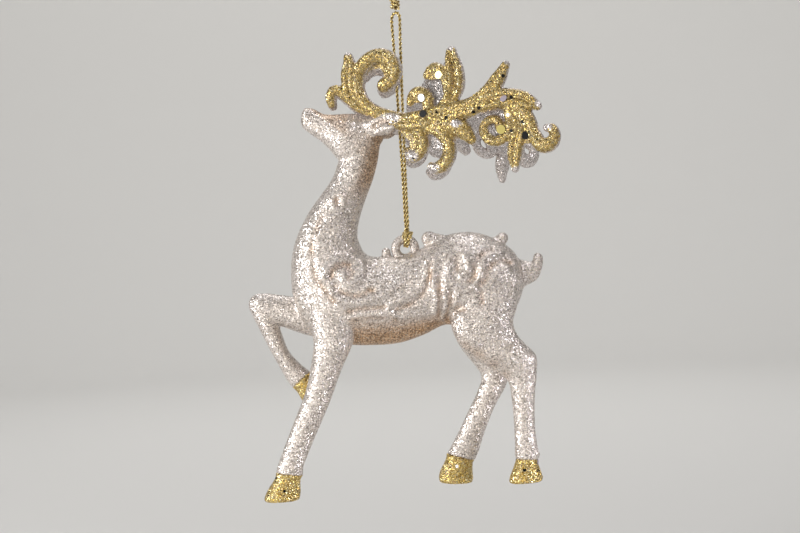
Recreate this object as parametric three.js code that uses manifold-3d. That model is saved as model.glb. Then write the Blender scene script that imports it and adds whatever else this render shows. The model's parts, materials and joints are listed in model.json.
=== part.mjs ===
// A glitter-coated deer ornament that hangs on a loop of cord hitched to an eyelet on its back.
// Millimetres. +Z is up, the nose points to -X and the deer's left side faces -Y.
// The origin is the point inside the top of the cord loop that bears on whatever holds it up.
import * as THREE from "three";
import { LoftGeometry } from "three/addons/geometries/LoftGeometry.js";
import { mergeVertices } from "three/addons/utils/BufferGeometryUtils.js";
import Module from "manifold-3d";

// ---- driving dimensions ----
const LOOP_DROP = 70.4; // from the bearing point down to the centre of the eyelet
const HANG_TILT = THREE.MathUtils.degToRad(2.4); // how far the deer hangs nose-up
const PART_GAP = 0.3; // between pieces that touch
const SHELL_WALL = 1.9;
const THIGH_WALL = 3.1; // thicker, so that the deer balances under its eyelet
const EYELET_RADIUS = 2.9; // centre line of the ring
const EYELET_THICKNESS = 2.7;
const CORD_DIAMETER = 1.0;
const HANGER_RADIUS = 1.6; // of the rod that the loop goes over
const LOOP_TURN = THREE.MathUtils.degToRad(35); // plane of the loop, turned from the Y axis
const ANTLER_SPLAY = 0.49; // how fast an antler leaves the middle plane, per mm towards the tail
const ANTLER_OFFSET = 5; // from the middle plane to an antler's middle, above the poll
const POLL_X = -7; // the back of the head, where the antlers start to spread
const ANTLER_TOE = 0.15; // the same in front of the poll
const PIN_RADIUS = 0.8;
const PIN_LENGTH = 2.2;
const BOSS_RADIUS = 2.1; // of the thickening round each pin
const BOSS_DEPTH = 15;
const SOCKET_PLAY = 0.3;

// ---- materials ----
const pearlGlitter = new THREE.MeshStandardMaterial({ color: 0xd6ccc4, roughness: 0.35, metalness: 0.6 });
const goldGlitter = new THREE.MeshStandardMaterial({ color: 0xc8a550, roughness: 0.3, metalness: 0.8 });
const goldThread = new THREE.MeshStandardMaterial({ color: 0xdcb450, roughness: 0.35, metalness: 0.9 });

// ---- solids ----
const wasm = await Module();
wasm.setup();

function solid(geometry) {
  const bare = new THREE.BufferGeometry();
  bare.setAttribute("position", geometry.attributes.position);
  bare.setIndex(geometry.index);
  const merged = mergeVertices(bare, 1e-4);
  const triVerts = new Uint32Array(merged.index.array);
  const vertProperties = merged.attributes.position.array;
  return new wasm.Manifold(new wasm.Mesh({ numProp: 3, vertProperties, triVerts }));
}

function joined(solids) {
  return solids.reduce((all, one) => all.add(one));
}

function meshOf(name, shape, material) {
  const { vertProperties, triVerts } = shape.getMesh();
  const geometry = new THREE.BufferGeometry();
  geometry.setAttribute("position", new THREE.BufferAttribute(vertProperties, 3));
  geometry.setIndex(new THREE.BufferAttribute(triVerts, 1));
  const mesh = new THREE.Mesh(geometry, material);
  mesh.name = name;
  return mesh;
}

function box(low, high) {
  const size = new THREE.Vector3(...high).sub(new THREE.Vector3(...low));
  const middle = new THREE.Vector3(...high).add(new THREE.Vector3(...low)).multiplyScalar(0.5);
  return solid(new THREE.BoxGeometry(...size).translate(...middle));
}

// A round bar across the deer, from y0 to y1 at (x, z).
function crossBar(x, z, radius, y0, y1) {
  const bar = new THREE.CylinderGeometry(radius, radius, y1 - y0, 12);
  return solid(bar.translate(x, (y0 + y1) / 2, z));
}

// ---- limbs: lofts of elliptical sections ----
// A section is [x, z, x, z, half width, y]: two facing points of the outline in side view, half its
// width across the deer, and how far its middle lies from the deer's middle plane.
function smoothSections(sections, steps) {
  const curve = (pick) => new THREE.CatmullRomCurve3(sections.map(pick), false, "catmullrom", 0.5);
  const upper = curve((s) => new THREE.Vector3(s[0], 0, s[1]));
  const lower = curve((s) => new THREE.Vector3(s[2], 0, s[3]));
  const across = curve((s) => new THREE.Vector3(s[4], s[5] ?? 0, 0));
  const count = (sections.length - 1) * steps;
  return Array.from({ length: count + 1 }, (_, i) => {
    const a = upper.getPoint(i / count);
    const b = lower.getPoint(i / count);
    const w = across.getPoint(i / count);
    return {
      centre: a.clone().add(b).multiplyScalar(0.5).setY(w.y),
      half: b.clone().sub(a).multiplyScalar(0.5),
      width: w.x,
    };
  });
}

const LEAST_REACH = 0.2; // of a section that has been shrunk

function ring(section, grow, sides) {
  const reach = section.half.clone().setLength(Math.max(section.half.length() + grow, LEAST_REACH));
  const width = Math.max(section.width + grow, LEAST_REACH);
  return Array.from({ length: sides }, (_, i) => {
    const angle = (2 * Math.PI * i) / sides;
    const point = section.centre.clone().addScaledVector(reach, Math.cos(angle));
    return point.setY(section.centre.y + width * Math.sin(angle));
  });
}

// The extra sections that round off an end over the given length, at these parts of it.
const DOME_PARTS = [0.5, 0.8, 0.97];

function dome(end, inner, length) {
  if (length === 0) return [];
  const out = end.centre.clone().sub(inner.centre).setLength(length);
  return DOME_PARTS.map((part) => {
    const shrink = Math.sqrt(1 - part * part);
    return {
      centre: end.centre.clone().addScaledVector(out, part),
      half: end.half.clone().multiplyScalar(shrink),
      width: end.width * shrink,
    };
  });
}

function limb(sections, { grow = 0, sides = 14, steps = 2, startDome = 1.5, endDome = 1.5 } = {}) {
  const smooth = smoothSections(sections, steps);
  const first = dome(smooth[0], smooth[1], startDome).reverse();
  const last = dome(smooth.at(-1), smooth.at(-2), endDome);
  const rings = [...first, ...smooth, ...last].map((section) => ring(section, grow, sides));
  if (!windsForward(smooth)) rings.forEach((points) => points.reverse());
  return solid(new LoftGeometry(rings, { capStart: true, capEnd: true }));
}

// Whether rings drawn from each section's outline towards +Y turn anticlockwise seen from the far end.
function windsForward(smooth) {
  const along = smooth[1].centre.clone().sub(smooth[0].centre);
  return along.dot(smooth[0].half.clone().cross(new THREE.Vector3(0, 1, 0))) > 0;
}

// ---- the body, about the centre of the eyelet ----
const trunkAndNeck = [
  [35.3, -6.5, 35.6, -11.5, 2.5],
  [32.8, -1.2, 33.2, -17.5, 6.6],
  [28.0, 2.4, 27.0, -23.0, 9.2],
  [21.0, 4.9, 19.0, -24.5, 10.4],
  [13.5, 4.4, 12.5, -22.7, 10.3],
  [6.5, 1.0, 5.6, -25.8, 10.0],
  [0.0, -1.9, -1.6, -28.2, 10.3],
  [-6.0, -2.4, -9.7, -28.9, 10.8],
  [-10.5, -2.2, -18.0, -28.6, 11.0],
  [-12.7, -0.6, -27.0, -26.0, 10.8],
  [-13.4, 1.0, -33.0, -16.5, 10.0],
  [-14.2, 3.2, -34.2, -6.5, 8.8],
  [-14.2, 6.0, -33.0, 2.0, 7.8],
  [-13.4, 10.0, -29.3, 10.2, 6.6],
  [-11.6, 15.5, -25.3, 16.0, 5.8],
  [-9.6, 21.0, -21.8, 21.2, 5.2],
  [-8.2, 26.5, -20.3, 25.4, 5.0],
  [-7.6, 31.0, -18.5, 29.5, 4.6],
];
const head = [
  [-7.2, 37.0, -7.4, 31.5, 2.6],
  [-9.6, 39.4, -9.4, 27.0, 4.7],
  [-14.0, 40.4, -14.5, 23.5, 5.6],
  [-18.0, 40.4, -19.0, 25.6, 5.6],
  [-21.5, 40.2, -22.4, 29.4, 4.7],
  [-24.5, 40.4, -25.1, 32.1, 3.7],
  [-27.2, 41.4, -27.6, 34.3, 3.1],
  [-29.3, 41.6, -29.9, 36.6, 2.5],
];
const ear = [
  [-12.0, 38.4, -11.5, 33.8, 1.6, 3.6],
  [-8.0, 39.3, -7.6, 33.8, 1.8, 5.3],
  [-4.6, 39.3, -4.8, 34.6, 1.5, 6.8],
  [-2.4, 38.6, -2.8, 35.8, 1.0, 7.8],
];
const tail = [
  [33.5, -2.8, 34.0, -10.0, 2.6],
  [36.2, -3.6, 36.9, -10.7, 2.1],
  [38.0, -3.7, 39.9, -8.8, 1.8],
  [38.5, -3.0, 41.1, -5.0, 1.5],
  [38.8, -2.1, 41.0, -2.9, 1.2],
];
const leftForeleg = [
  [-30.0, -13.0, -12.0, -14.5, 4.2, 5.0],
  [-28.3, -22.0, -14.5, -23.8, 4.9, 5.8],
  [-27.1, -27.7, -15.9, -29.2, 4.6, 6.0],
  [-27.7, -33.7, -18.6, -35.4, 4.0, 6.0],
  [-29.0, -40.5, -21.0, -42.0, 3.6, 6.0],
  [-30.3, -44.8, -22.8, -46.8, 3.3, 6.0],
  [-32.8, -51.0, -25.6, -53.4, 3.0, 6.0],
  [-35.2, -57.3, -27.9, -58.9, 2.9, 6.0],
  [-37.4, -63.3, -30.0, -64.3, 3.2, 6.0],
  [-38.2, -66.0, -30.2, -66.8, 3.2, 6.0],
];
const rightForeleg = [
  [-23.0, -12.0, -22.0, -27.0, 4.2, 4.6],
  [-31.0, -14.6, -28.5, -26.5, 4.4, 5.0],
  [-37.5, -14.0, -34.5, -24.6, 3.9, 5.0],
  [-42.5, -13.5, -37.2, -23.6, 3.6, 5.0],
  [-46.2, -14.2, -37.9, -23.6, 3.5, 5.0],
  [-47.5, -17.4, -37.9, -24.4, 3.4, 5.0],
  [-44.8, -23.2, -36.9, -27.2, 3.2, 5.0],
  [-41.8, -29.2, -35.2, -31.2, 3.0, 5.0],
  [-38.6, -35.0, -32.2, -34.5, 3.0, 5.0],
  [-36.0, -39.6, -30.0, -36.4, 3.1, 5.0],
  [-34.3, -42.0, -28.8, -37.0, 3.2, 5.0],
];
const leftHindLeg = [
  [14.5, -7.0, 33.5, -7.0, 4.0, 4.6],
  [13.4, -18.0, 33.1, -17.0, 5.2, 5.5],
  [13.6, -23.2, 31.9, -21.3, 5.0, 5.8],
  [15.8, -28.0, 32.9, -25.0, 4.5, 6.0],
  [20.5, -32.8, 35.7, -28.4, 4.0, 6.0],
  [27.0, -36.4, 38.7, -31.6, 3.5, 6.0],
  [30.4, -39.4, 38.9, -36.4, 3.2, 6.0],
  [31.4, -44.0, 38.3, -43.4, 3.0, 6.0],
  [32.1, -51.0, 38.3, -50.8, 2.9, 6.0],
  [32.4, -57.5, 38.9, -57.4, 3.0, 6.0],
  [32.4, -60.8, 39.8, -60.8, 3.3, 6.0],
  [32.7, -61.9, 39.4, -61.9, 3.2, 6.0],
];
const rightHindLeg = [
  [14.5, -7.0, 33.5, -7.0, 4.0, 4.6],
  [13.6, -18.0, 33.1, -17.0, 5.2, 5.3],
  [14.2, -24.2, 31.6, -22.2, 5.0, 5.5],
  [17.0, -30.2, 31.0, -26.4, 4.4, 5.8],
  [20.6, -35.0, 31.6, -32.0, 3.8, 6.0],
  [22.6, -38.8, 31.8, -36.8, 3.4, 6.0],
  [21.4, -43.4, 30.4, -42.0, 3.2, 6.0],
  [18.9, -48.8, 27.0, -48.6, 3.0, 6.0],
  [15.8, -55.4, 24.1, -56.2, 2.9, 6.0],
  [13.4, -60.6, 22.2, -61.5, 3.1, 6.0],
  [12.9, -62.0, 21.4, -63.9, 3.3, 6.0],
];
// Ornamental scroll ends that stand on the line of the back.
const backKnobs = [
  { at: [7.1, 3.0], root: [11.0, 1.4], radius: 2.3 },
  { at: [29.2, 3.2], root: [26.6, 1.0], radius: 1.8 },
  { at: [-5.7, -1.0], root: [-5.4, -4.0], radius: 1.4 },
];
const KNOB_NECK = 0.85; // the neck's radius over the ball's

function knob({ at, root, radius }) {
  const ball = solid(new THREE.SphereGeometry(radius, 12, 8).translate(at[0], 0, at[1]));
  const side = new THREE.Vector2(at[1] - root[1], root[0] - at[0]).setLength(radius * KNOB_NECK);
  const section = ([x, z]) => [x + side.x, z + side.y, x - side.x, z - side.y, side.length()];
  return ball.add(limb([section(root), section(at)], { sides: 8, steps: 1, startDome: 0.5, endDome: 0.5 }));
}

function eyelet(grow) {
  const torus = new THREE.TorusGeometry(EYELET_RADIUS, EYELET_THICKNESS / 2 + grow, 8, 24);
  return solid(torus.rotateX(Math.PI / 2));
}

// Turns a list of sections over to the given side: -1 is the deer's left, +1 its right.
function onSide(sections, side) {
  return sections.map(([ax, az, bx, bz, width, y = 0]) => [ax, az, bx, bz, width, side * y]);
}

// The peg that an antler stands on, and the stump on the side of the head that takes it. The peg is
// at (x, y, z), runs length down into the head and foot up into the antler.
const PEG = { x: -9.5, z: 37.0, y: 4.2, radius: 1.0, length: 3.2, foot: 4.0 };
const STUMP = { radius: 2.0, low: -3.0, high: 1.5 };

function pegBar(side, radius, low, high) {
  const bar = new THREE.CylinderGeometry(radius, radius, high - low, 12).rotateX(Math.PI / 2);
  return solid(bar.translate(PEG.x, side * PEG.y, PEG.z + (low + high) / 2));
}

function pegSocket(side) {
  return pegBar(side, PEG.radius + SOCKET_PLAY, -PEG.length, PEG.foot);
}

function headSolid(side, grow) {
  return joined([
    limb(head, { grow, sides: 12, steps: 1, startDome: 1.2, endDome: 1.6 }),
    limb(onSide(ear, side), { grow, sides: 8, steps: 1, startDome: 1, endDome: 1.2 }),
    pegBar(side, STUMP.radius + grow, STUMP.low, STUMP.high + grow),
  ]);
}

const LEG_STYLE = { sides: 10, steps: 1, startDome: 2, endDome: 0 };

function outerSolid(side, legs) {
  const limbs = legs.map((sections) => limb(onSide(sections, side), LEG_STYLE));
  return joined([
    limb(trunkAndNeck, { sides: 18, steps: 1 }),
    limb(tail, { sides: 10, steps: 1 }),
    headSolid(side, 0),
    ...backKnobs.map(knob),
    ...limbs,
  ]);
}

// The room inside the trunk and neck, short of the head, and the tops of the hind legs.
function cavity(side, hindLeg) {
  const room = { grow: -SHELL_WALL, sides: 12, steps: 1, startDome: 0, endDome: 0 };
  const thighRoom = { ...room, grow: -THIGH_WALL };
  return limb(trunkAndNeck.slice(1, -2), room).add(limb(onSide(hindLeg.slice(0, 4), side), thighRoom));
}

// Where the halves are pinned together, along the seam.
const PIN_PLACES = [
  [-24, -18],
  [-2, -17],
  [24, -12],
];

function pinBars(radius, y0, y1) {
  return joined(PIN_PLACES.map(([x, z]) => crossBar(x, z, radius, y0, y1)));
}

// All the space on one side of the seam that the deer may take up.
function sideOfSeam(side) {
  const near = (side * PART_GAP) / 2;
  const far = side * 60;
  return box([-60, Math.min(near, far), -80], [60, Math.max(near, far), 60]);
}

// A half is the outer shape on one side of the seam, hollow, with a boss at each locating pin.
function shell(side, foreleg, hindLeg) {
  const outer = outerSolid(side, [foreleg, hindLeg]).intersect(sideOfSeam(side));
  const bosses = pinBars(BOSS_RADIUS, -BOSS_DEPTH, BOSS_DEPTH).intersect(outer);
  return outer.subtract(cavity(side, hindLeg)).add(bosses).subtract(pegSocket(side));
}

// The left half carries the locating pins and the whole of the eyelet.
function leftHalf() {
  const pins = pinBars(PIN_RADIUS, -1, PIN_LENGTH);
  return joined([shell(-1, leftForeleg, leftHindLeg), pins, eyelet(0)]);
}

function rightHalf() {
  const sockets = pinBars(PIN_RADIUS + SOCKET_PLAY, -1, PIN_LENGTH + SOCKET_PLAY);
  return shell(1, rightForeleg, rightHindLeg).subtract(sockets).subtract(eyelet(PART_GAP));
}

// ---- hooves ----
const hooves = {
  hoof_front_left: [-1, [
    [-38.3, -66.4, -30.3, -67.2, 3.2, 6.0],
    [-38.5, -68.0, -31.0, -68.4, 3.2, 6.0],
    [-40.6, -71.4, -30.9, -71.2, 3.6, 6.0],
    [-41.6, -73.8, -31.0, -73.0, 3.9, 6.0],
    [-40.6, -74.9, -31.8, -74.2, 3.6, 6.0],
  ]],
  hoof_front_right: [1, [
    [-34.0, -42.3, -28.5, -37.3, 3.2, 5.0],
    [-32.8, -43.4, -27.2, -38.4, 3.3, 5.0],
    [-31.2, -46.0, -24.9, -40.0, 3.7, 5.0],
    [-29.6, -47.4, -23.7, -41.2, 3.8, 5.0],
    [-28.2, -47.4, -23.4, -42.2, 3.5, 5.0],
  ]],
  hoof_hind_left: [-1, [
    [32.8, -62.2, 39.3, -62.2, 3.2, 6.0],
    [32.3, -63.8, 39.4, -63.8, 3.2, 6.0],
    [31.1, -67.0, 40.2, -66.0, 3.7, 6.0],
    [30.7, -68.6, 40.6, -67.6, 3.9, 6.0],
    [31.7, -69.4, 40.2, -68.6, 3.6, 6.0],
  ]],
  hoof_hind_right: [1, [
    [12.8, -62.4, 21.1, -64.3, 3.3, 6.0],
    [12.2, -64.4, 20.5, -65.4, 3.3, 6.0],
    [10.6, -67.8, 20.6, -68.0, 3.7, 6.0],
    [10.3, -70.0, 20.7, -69.6, 3.9, 6.0],
    [11.6, -71.2, 19.8, -71.0, 3.6, 6.0],
  ]],
};

function hoof(side, sections) {
  return limb(onSide(sections, side), { sides: 14, steps: 1, startDome: 0, endDome: 0 });
}

// ---- antlers ----
// The middle of each scroll or leaf, seen from the side, as [x, z, radius].
const strokes = {
  cScroll: [
    [-0.5, 38, 1.8], [-7.5, 40, 2], [-11.5, 42.5, 2], [-13.5, 46, 2], [-14, 50, 2], [-12.3, 54.4, 2.3],
    [-8.5, 56.8, 2.5], [-5, 56, 2.5], [-3.1, 53, 2.4], [-3.6, 50, 2.3], [-6, 48.2, 2.2],
  ],
  browLeaf: [[-10, 40.5, 1.8], [-14, 43, 2.3], [-16.5, 46.5, 2], [-17.5, 51.5, 2], [-17, 56, 1.6]],
  browCurl: [
    [-14.5, 42.5, 1.5], [-17, 45, 1.6], [-19.5, 47, 1.5], [-21.5, 47, 1.5], [-22.4, 45, 1.5],
    [-22, 43, 1.3],
  ],
  mainStem: [
    [-4, 38, 2], [1, 37.5, 2.5], [5.5, 37.5, 3], [10, 39, 2.8], [15, 40, 2.5], [19.5, 41.5, 2.5],
    [23.5, 44, 2.5], [26.5, 48, 2.3], [28.4, 51.7, 1.3],
  ],
  rearLeaf: [
    [19.5, 41.5, 2], [24, 42.5, 2.5], [28, 42.7, 2.7], [32.5, 42, 2.5], [35.5, 40.5, 1.9],
    [37, 39.6, 1.3],
  ],
  rearCurl: [
    [24, 42.5, 1.8], [29, 41, 2], [32.5, 39, 2], [34.7, 36, 2], [36, 32, 2], [38, 28.8, 2.2],
    [40.3, 28.8, 2.2], [41.6, 30.8, 1.8], [41, 33, 1.5], [39.6, 33.4, 1.2],
  ],
  hangingLeaf: [
    [27, 41, 1.5], [30, 39, 1.8], [32, 36, 1.9], [32.2, 33, 2.1], [31.5, 29.5, 2.5], [31, 26, 2.3],
    [31, 22.3, 1.2],
  ],
  innerSpiral: [
    [29, 38.5, 1.3], [29.6, 35, 1.5], [28.7, 31.7, 1.5], [26, 30.2, 1.6], [23.4, 31.4, 1.6],
    [22.4, 34, 1.5], [23.8, 36.2, 1.4], [26, 36.3, 1.3], [27, 34.4, 1.6],
  ],
  underLeaf: [[5.5, 36, 2], [10, 36, 2.3], [14, 35, 2.5], [17.5, 32.7, 2.2], [19.6, 30.4, 1.3]],
  frontHook: [[2, 36.5, 2], [4.5, 33.5, 2], [5.4, 30.5, 2], [4.5, 28, 2], [2.2, 26.8, 2], [1, 28.3, 1.5]],
  rearHook: [
    [6.5, 35.5, 2], [10, 34, 2.2], [12.4, 31, 2.2], [12.9, 27.5, 2.2], [11.6, 24.5, 2.2],
    [9.2, 23.2, 1.9], [7.7, 23.8, 1.3],
  ],
  crownLeaf: [
    [10, 39.5, 1.8], [13, 43, 2.3], [14.5, 46.5, 2.8], [14.6, 50.5, 2.6], [14, 54.5, 2],
    [13.5, 56.5, 1.5],
  ],
  crownCurl: [
    [12, 40.5, 1.3], [12.5, 44.5, 1.5], [12, 48, 1.6], [10.8, 51, 1.8], [8.5, 52.2, 1.8],
    [6.6, 50.4, 1.5],
  ],
  frontCurl: [[6.5, 39.5, 1.5], [7, 43, 1.5], [6, 45.5, 1.6], [4, 46.3, 1.7], [2, 45, 1.6], [1.6, 42.8, 1.4]],
};
// Thin webs that fill the hollows between strokes.
const webs = [
  [[5.5, 39], [6, 46], [8, 51], [13, 51], [14.5, 41]],
  [[18.5, 40.5], [28, 41.5], [33, 38], [33, 31], [27, 30], [23.5, 36]],
];
const WEB_THICKNESS = 1.4;
const STROKE_FLATNESS = 0.8; // a stroke's thickness over its width
const STROKE_SIDES = 6;
const RINGS_PER_POINT = 1.2;

function antlerSlope(x) {
  return x > POLL_X ? ANTLER_SPLAY : ANTLER_TOE;
}

// How far an antler's middle is from the deer's middle plane at x.
function antlerOffset(x) {
  return ANTLER_OFFSET + antlerSlope(x) * (x - POLL_X);
}

function strokeRing(centre, tangent, radius, side) {
  const out = new THREE.Vector3(-antlerSlope(centre.x), side, 0).normalize();
  const wide = new THREE.Vector3().crossVectors(out, tangent).normalize();
  return Array.from({ length: STROKE_SIDES }, (_, i) => {
    const angle = (2 * Math.PI * (i + 0.5)) / STROKE_SIDES;
    const point = centre.clone().addScaledVector(wide, radius * Math.cos(angle));
    return point.addScaledVector(out, radius * STROKE_FLATNESS * Math.sin(angle));
  });
}

function strokeSolid(path, side) {
  const centres = path.map(([x, z]) => new THREE.Vector3(x, side * antlerOffset(x), z));
  const curve = new THREE.CatmullRomCurve3(centres, false, "catmullrom", 0.5);
  const halfWidths = path.map(([, , radius]) => new THREE.Vector3(radius, 0, 0));
  const radii = new THREE.CatmullRomCurve3(halfWidths, false, "catmullrom", 0.5);
  const count = Math.round(path.length * RINGS_PER_POINT);
  const rings = Array.from({ length: count + 1 }, (_, i) => {
    const t = i / count;
    return strokeRing(curve.getPoint(t), curve.getTangent(t), radii.getPoint(t).x, side);
  });
  const end = curve.getPoint(1);
  const tip = curve.getTangent(1);
  const radius = path.at(-1)[2];
  for (const [reach, width] of [[0.7, 0.7], [1, 0.2]]) {
    rings.push(strokeRing(end.clone().addScaledVector(tip, radius * reach), tip, radius * width, side));
  }
  return solid(new LoftGeometry(rings, { capStart: true, capEnd: true }));
}

// A flat outline drawn in side view, sheared so that it lies in the antler's plane.
function webSolid(outline, side) {
  const shape = new THREE.Shape(outline.map(([x, z]) => new THREE.Vector2(x, z)));
  const sheet = new THREE.ExtrudeGeometry(shape, { depth: WEB_THICKNESS, bevelEnabled: false });
  const points = sheet.attributes.position;
  for (let i = 0; i < points.count; i += 1) {
    const [x, z, rise] = [points.getX(i), points.getY(i), points.getZ(i)];
    points.setXYZ(i, x, side * antlerOffset(x) + WEB_THICKNESS / 2 - rise, z);
  }
  return solid(sheet);
}

// The swelling at an antler's root, which sits on the head round the peg.
const antlerFoot = [
  [-12.5, 41.0, -6.5, 38.6, 2.0, PEG.y],
  [-12.3, 43.0, -6.5, 40.6, 2.0, PEG.y],
];

function antler(side) {
  const scrolls = Object.values(strokes).map((path) => strokeSolid(path, side));
  const sheets = webs.map((outline) => webSolid(outline, side));
  const foot = limb(onSide(antlerFoot, side), { sides: 10, steps: 1, startDome: 0, endDome: 0.5 });
  return joined([...scrolls, ...sheets, foot])
    .subtract(headSolid(side, PART_GAP))
    .add(pegBar(side, PEG.radius, -PEG.length + SOCKET_PLAY, PEG.foot));
}

// ---- cord ----
const HITCH_ANGLE = THREE.MathUtils.degToRad(15); // the hitch sits this far round the ring from its top
const HITCH_X = EYELET_RADIUS * Math.sin(HITCH_ANGLE);
const HITCH_BAR_Z = EYELET_RADIUS * Math.cos(HITCH_ANGLE) - LOOP_DROP;
const HITCH_HEIGHT = 3.9; // from the middle of the ring's bar to the foot of the strands
const STRAND_FOOT = HITCH_BAR_Z + HITCH_HEIGHT;

// One side of the loop, from its foot at the hitch to the level of the rod. Each entry is how far
// the strand stands from the loop's middle line, and its height.
const strand = [
  [0.58, STRAND_FOOT],
  [0.6, -58],
  [0.7, -48],
  [0.9, -38],
  [1.15, -28],
  [1.45, -18],
  [1.75, -9],
  [2.0, -4.5],
];

function loopPoint(offset, height) {
  const middle = HITCH_X * Math.max(0, height / STRAND_FOOT);
  return new THREE.Vector3(middle + Math.sin(LOOP_TURN) * offset, -Math.cos(LOOP_TURN) * offset, height);
}

function cordRoute() {
  const bend = HANGER_RADIUS + CORD_DIAMETER / 2;
  const over = [0, 30, 60, 90, 120, 150, 180].map((degrees) => {
    const angle = THREE.MathUtils.degToRad(degrees);
    return loopPoint(-bend * Math.cos(angle), -HANGER_RADIUS + bend * Math.sin(angle));
  });
  const up = strand.map(([offset, height]) => loopPoint(-offset, height));
  const down = strand.map(([offset, height]) => loopPoint(offset, height)).reverse();
  return new THREE.CatmullRomCurve3([...up, ...over, ...down], false, "centripetal");
}

function roundSection(radius, sides) {
  const points = Array.from({ length: sides }, (_, i) => {
    const angle = (2 * Math.PI * i) / sides;
    return new THREE.Vector2(radius * Math.cos(angle), radius * Math.sin(angle));
  });
  return new THREE.Shape(points);
}

function cordTube() {
  const section = roundSection(CORD_DIAMETER / 2, 8);
  return solid(new THREE.ExtrudeGeometry(section, { steps: 70, extrudePath: cordRoute() }));
}

// A round bead on the loop's middle line, from sections given as [x, z, half width].
function bead(sections, { sides, steps = 1, startDome = 0, endDome = 0 }) {
  const flat = sections.map(([x, z, half]) => [x - half, z, x + half, z, half]);
  return limb(flat, { sides, steps, startDome, endDome });
}

// Two turns round the ring's bar, gathered by a short bight above it.
function hitch() {
  const turnRadius = EYELET_THICKNESS / 2 + PART_GAP + CORD_DIAMETER / 2;
  const turnSpacing = CORD_DIAMETER * 0.9;
  const turn = (x) => {
    const torus = new THREE.TorusGeometry(turnRadius, CORD_DIAMETER / 2, 6, 16).rotateY(Math.PI / 2);
    return solid(torus.translate(x, 0, EYELET_RADIUS).rotateY(HITCH_ANGLE).translate(0, 0, -LOOP_DROP));
  };
  const above = HITCH_BAR_Z + turnRadius;
  const bight = [[HITCH_X, above - 0.3, 1.0], [HITCH_X, above + 1.0, 0.9]];
  const gather = bead(bight, { sides: 10, endDome: 0.3 });
  return joined([turn(-turnSpacing / 2), turn(turnSpacing / 2), gather]);
}

// An overhand knot on top of the loop, with the cord's two cut ends standing out of it.
function knot() {
  const low = CORD_DIAMETER + PART_GAP;
  const body = bead(
    [[0, low + 0.4, 1.2], [0, low + 1.9, 1.6], [0, low + 3.3, 1.1]],
    { sides: 12, steps: 2, startDome: 0.3, endDome: 0.4 },
  );
  const half = CORD_DIAMETER / 2;
  const end = (lean) => bead([[lean * 0.4, low + 3, half], [lean * 1.4, low + 7, half]], { sides: 8 });
  return joined([body, end(-1), end(1)]);
}

// ---- the ornament ----
const deer = new THREE.Group();
deer.position.z = -LOOP_DROP;
deer.rotation.y = HANG_TILT;
deer.add(meshOf("body_left_half", leftHalf(), pearlGlitter));
deer.add(meshOf("body_right_half", rightHalf(), pearlGlitter));
deer.add(meshOf("antler_left", antler(-1), goldGlitter));
deer.add(meshOf("antler_right", antler(1), goldGlitter));
for (const [name, [side, sections]] of Object.entries(hooves)) {
  deer.add(meshOf(name, hoof(side, sections), goldGlitter));
}

const hanger = new THREE.Group();
hanger.add(meshOf("hang_cord", cordTube(), goldThread));
hanger.add(meshOf("cord_hitch", hitch(), goldThread));
hanger.add(meshOf("cord_knot", knot(), goldThread));

const ornament = new THREE.Group();
ornament.add(deer, hanger);
export default ornament;
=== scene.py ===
# A glittered hanging deer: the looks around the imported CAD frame. Its shapes are in "deer" coordinates:
# millimetres about the centre of the eyelet, nose towards -X, left side towards -Y, before the figure
# is tilted as it hangs. The row frame, the studio and whatever is multiplied by MM are in metres.
import json
import math

import bmesh
import bpy
import numpy as np
from mathutils import Matrix, Vector


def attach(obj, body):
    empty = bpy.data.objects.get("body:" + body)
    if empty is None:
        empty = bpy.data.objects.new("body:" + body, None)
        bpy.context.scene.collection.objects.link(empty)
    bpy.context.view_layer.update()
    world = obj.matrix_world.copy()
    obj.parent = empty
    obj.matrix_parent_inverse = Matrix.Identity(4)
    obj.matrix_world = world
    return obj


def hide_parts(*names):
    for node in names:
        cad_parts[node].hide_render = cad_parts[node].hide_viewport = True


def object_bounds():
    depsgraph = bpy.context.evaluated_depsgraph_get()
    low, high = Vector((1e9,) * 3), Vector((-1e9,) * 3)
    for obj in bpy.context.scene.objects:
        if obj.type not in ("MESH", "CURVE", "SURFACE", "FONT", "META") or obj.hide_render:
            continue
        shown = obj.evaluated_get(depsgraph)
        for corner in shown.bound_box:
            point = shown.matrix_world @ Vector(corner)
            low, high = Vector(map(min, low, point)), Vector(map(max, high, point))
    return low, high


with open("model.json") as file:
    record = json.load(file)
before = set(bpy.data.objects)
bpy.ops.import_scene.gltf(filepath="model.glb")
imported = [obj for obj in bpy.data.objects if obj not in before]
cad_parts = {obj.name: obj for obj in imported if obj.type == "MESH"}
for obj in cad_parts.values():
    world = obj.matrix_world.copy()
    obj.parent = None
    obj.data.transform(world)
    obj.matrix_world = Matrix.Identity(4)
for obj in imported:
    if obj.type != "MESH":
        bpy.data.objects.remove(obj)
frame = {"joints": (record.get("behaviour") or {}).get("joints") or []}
cad_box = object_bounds()

MM = 0.001
HANG_TILT = math.radians(2.4)
EYELET = Vector(frame["joints"][0]["pos_m"])
LOOP_DROP = -EYELET.z / MM
rng = np.random.default_rng(24)

TILT = Matrix.Rotation(HANG_TILT, 3, "Y")
TILT_ARRAY = np.array(TILT)


def to_row(points):
    """Deer coordinates to the row frame."""
    return np.asarray(points, float) @ TILT_ARRAY.T * MM + np.array(EYELET)


def to_deer(points):
    """The row frame to deer coordinates."""
    return (np.asarray(points, float) - np.array(EYELET)) @ TILT_ARRAY / MM


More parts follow.
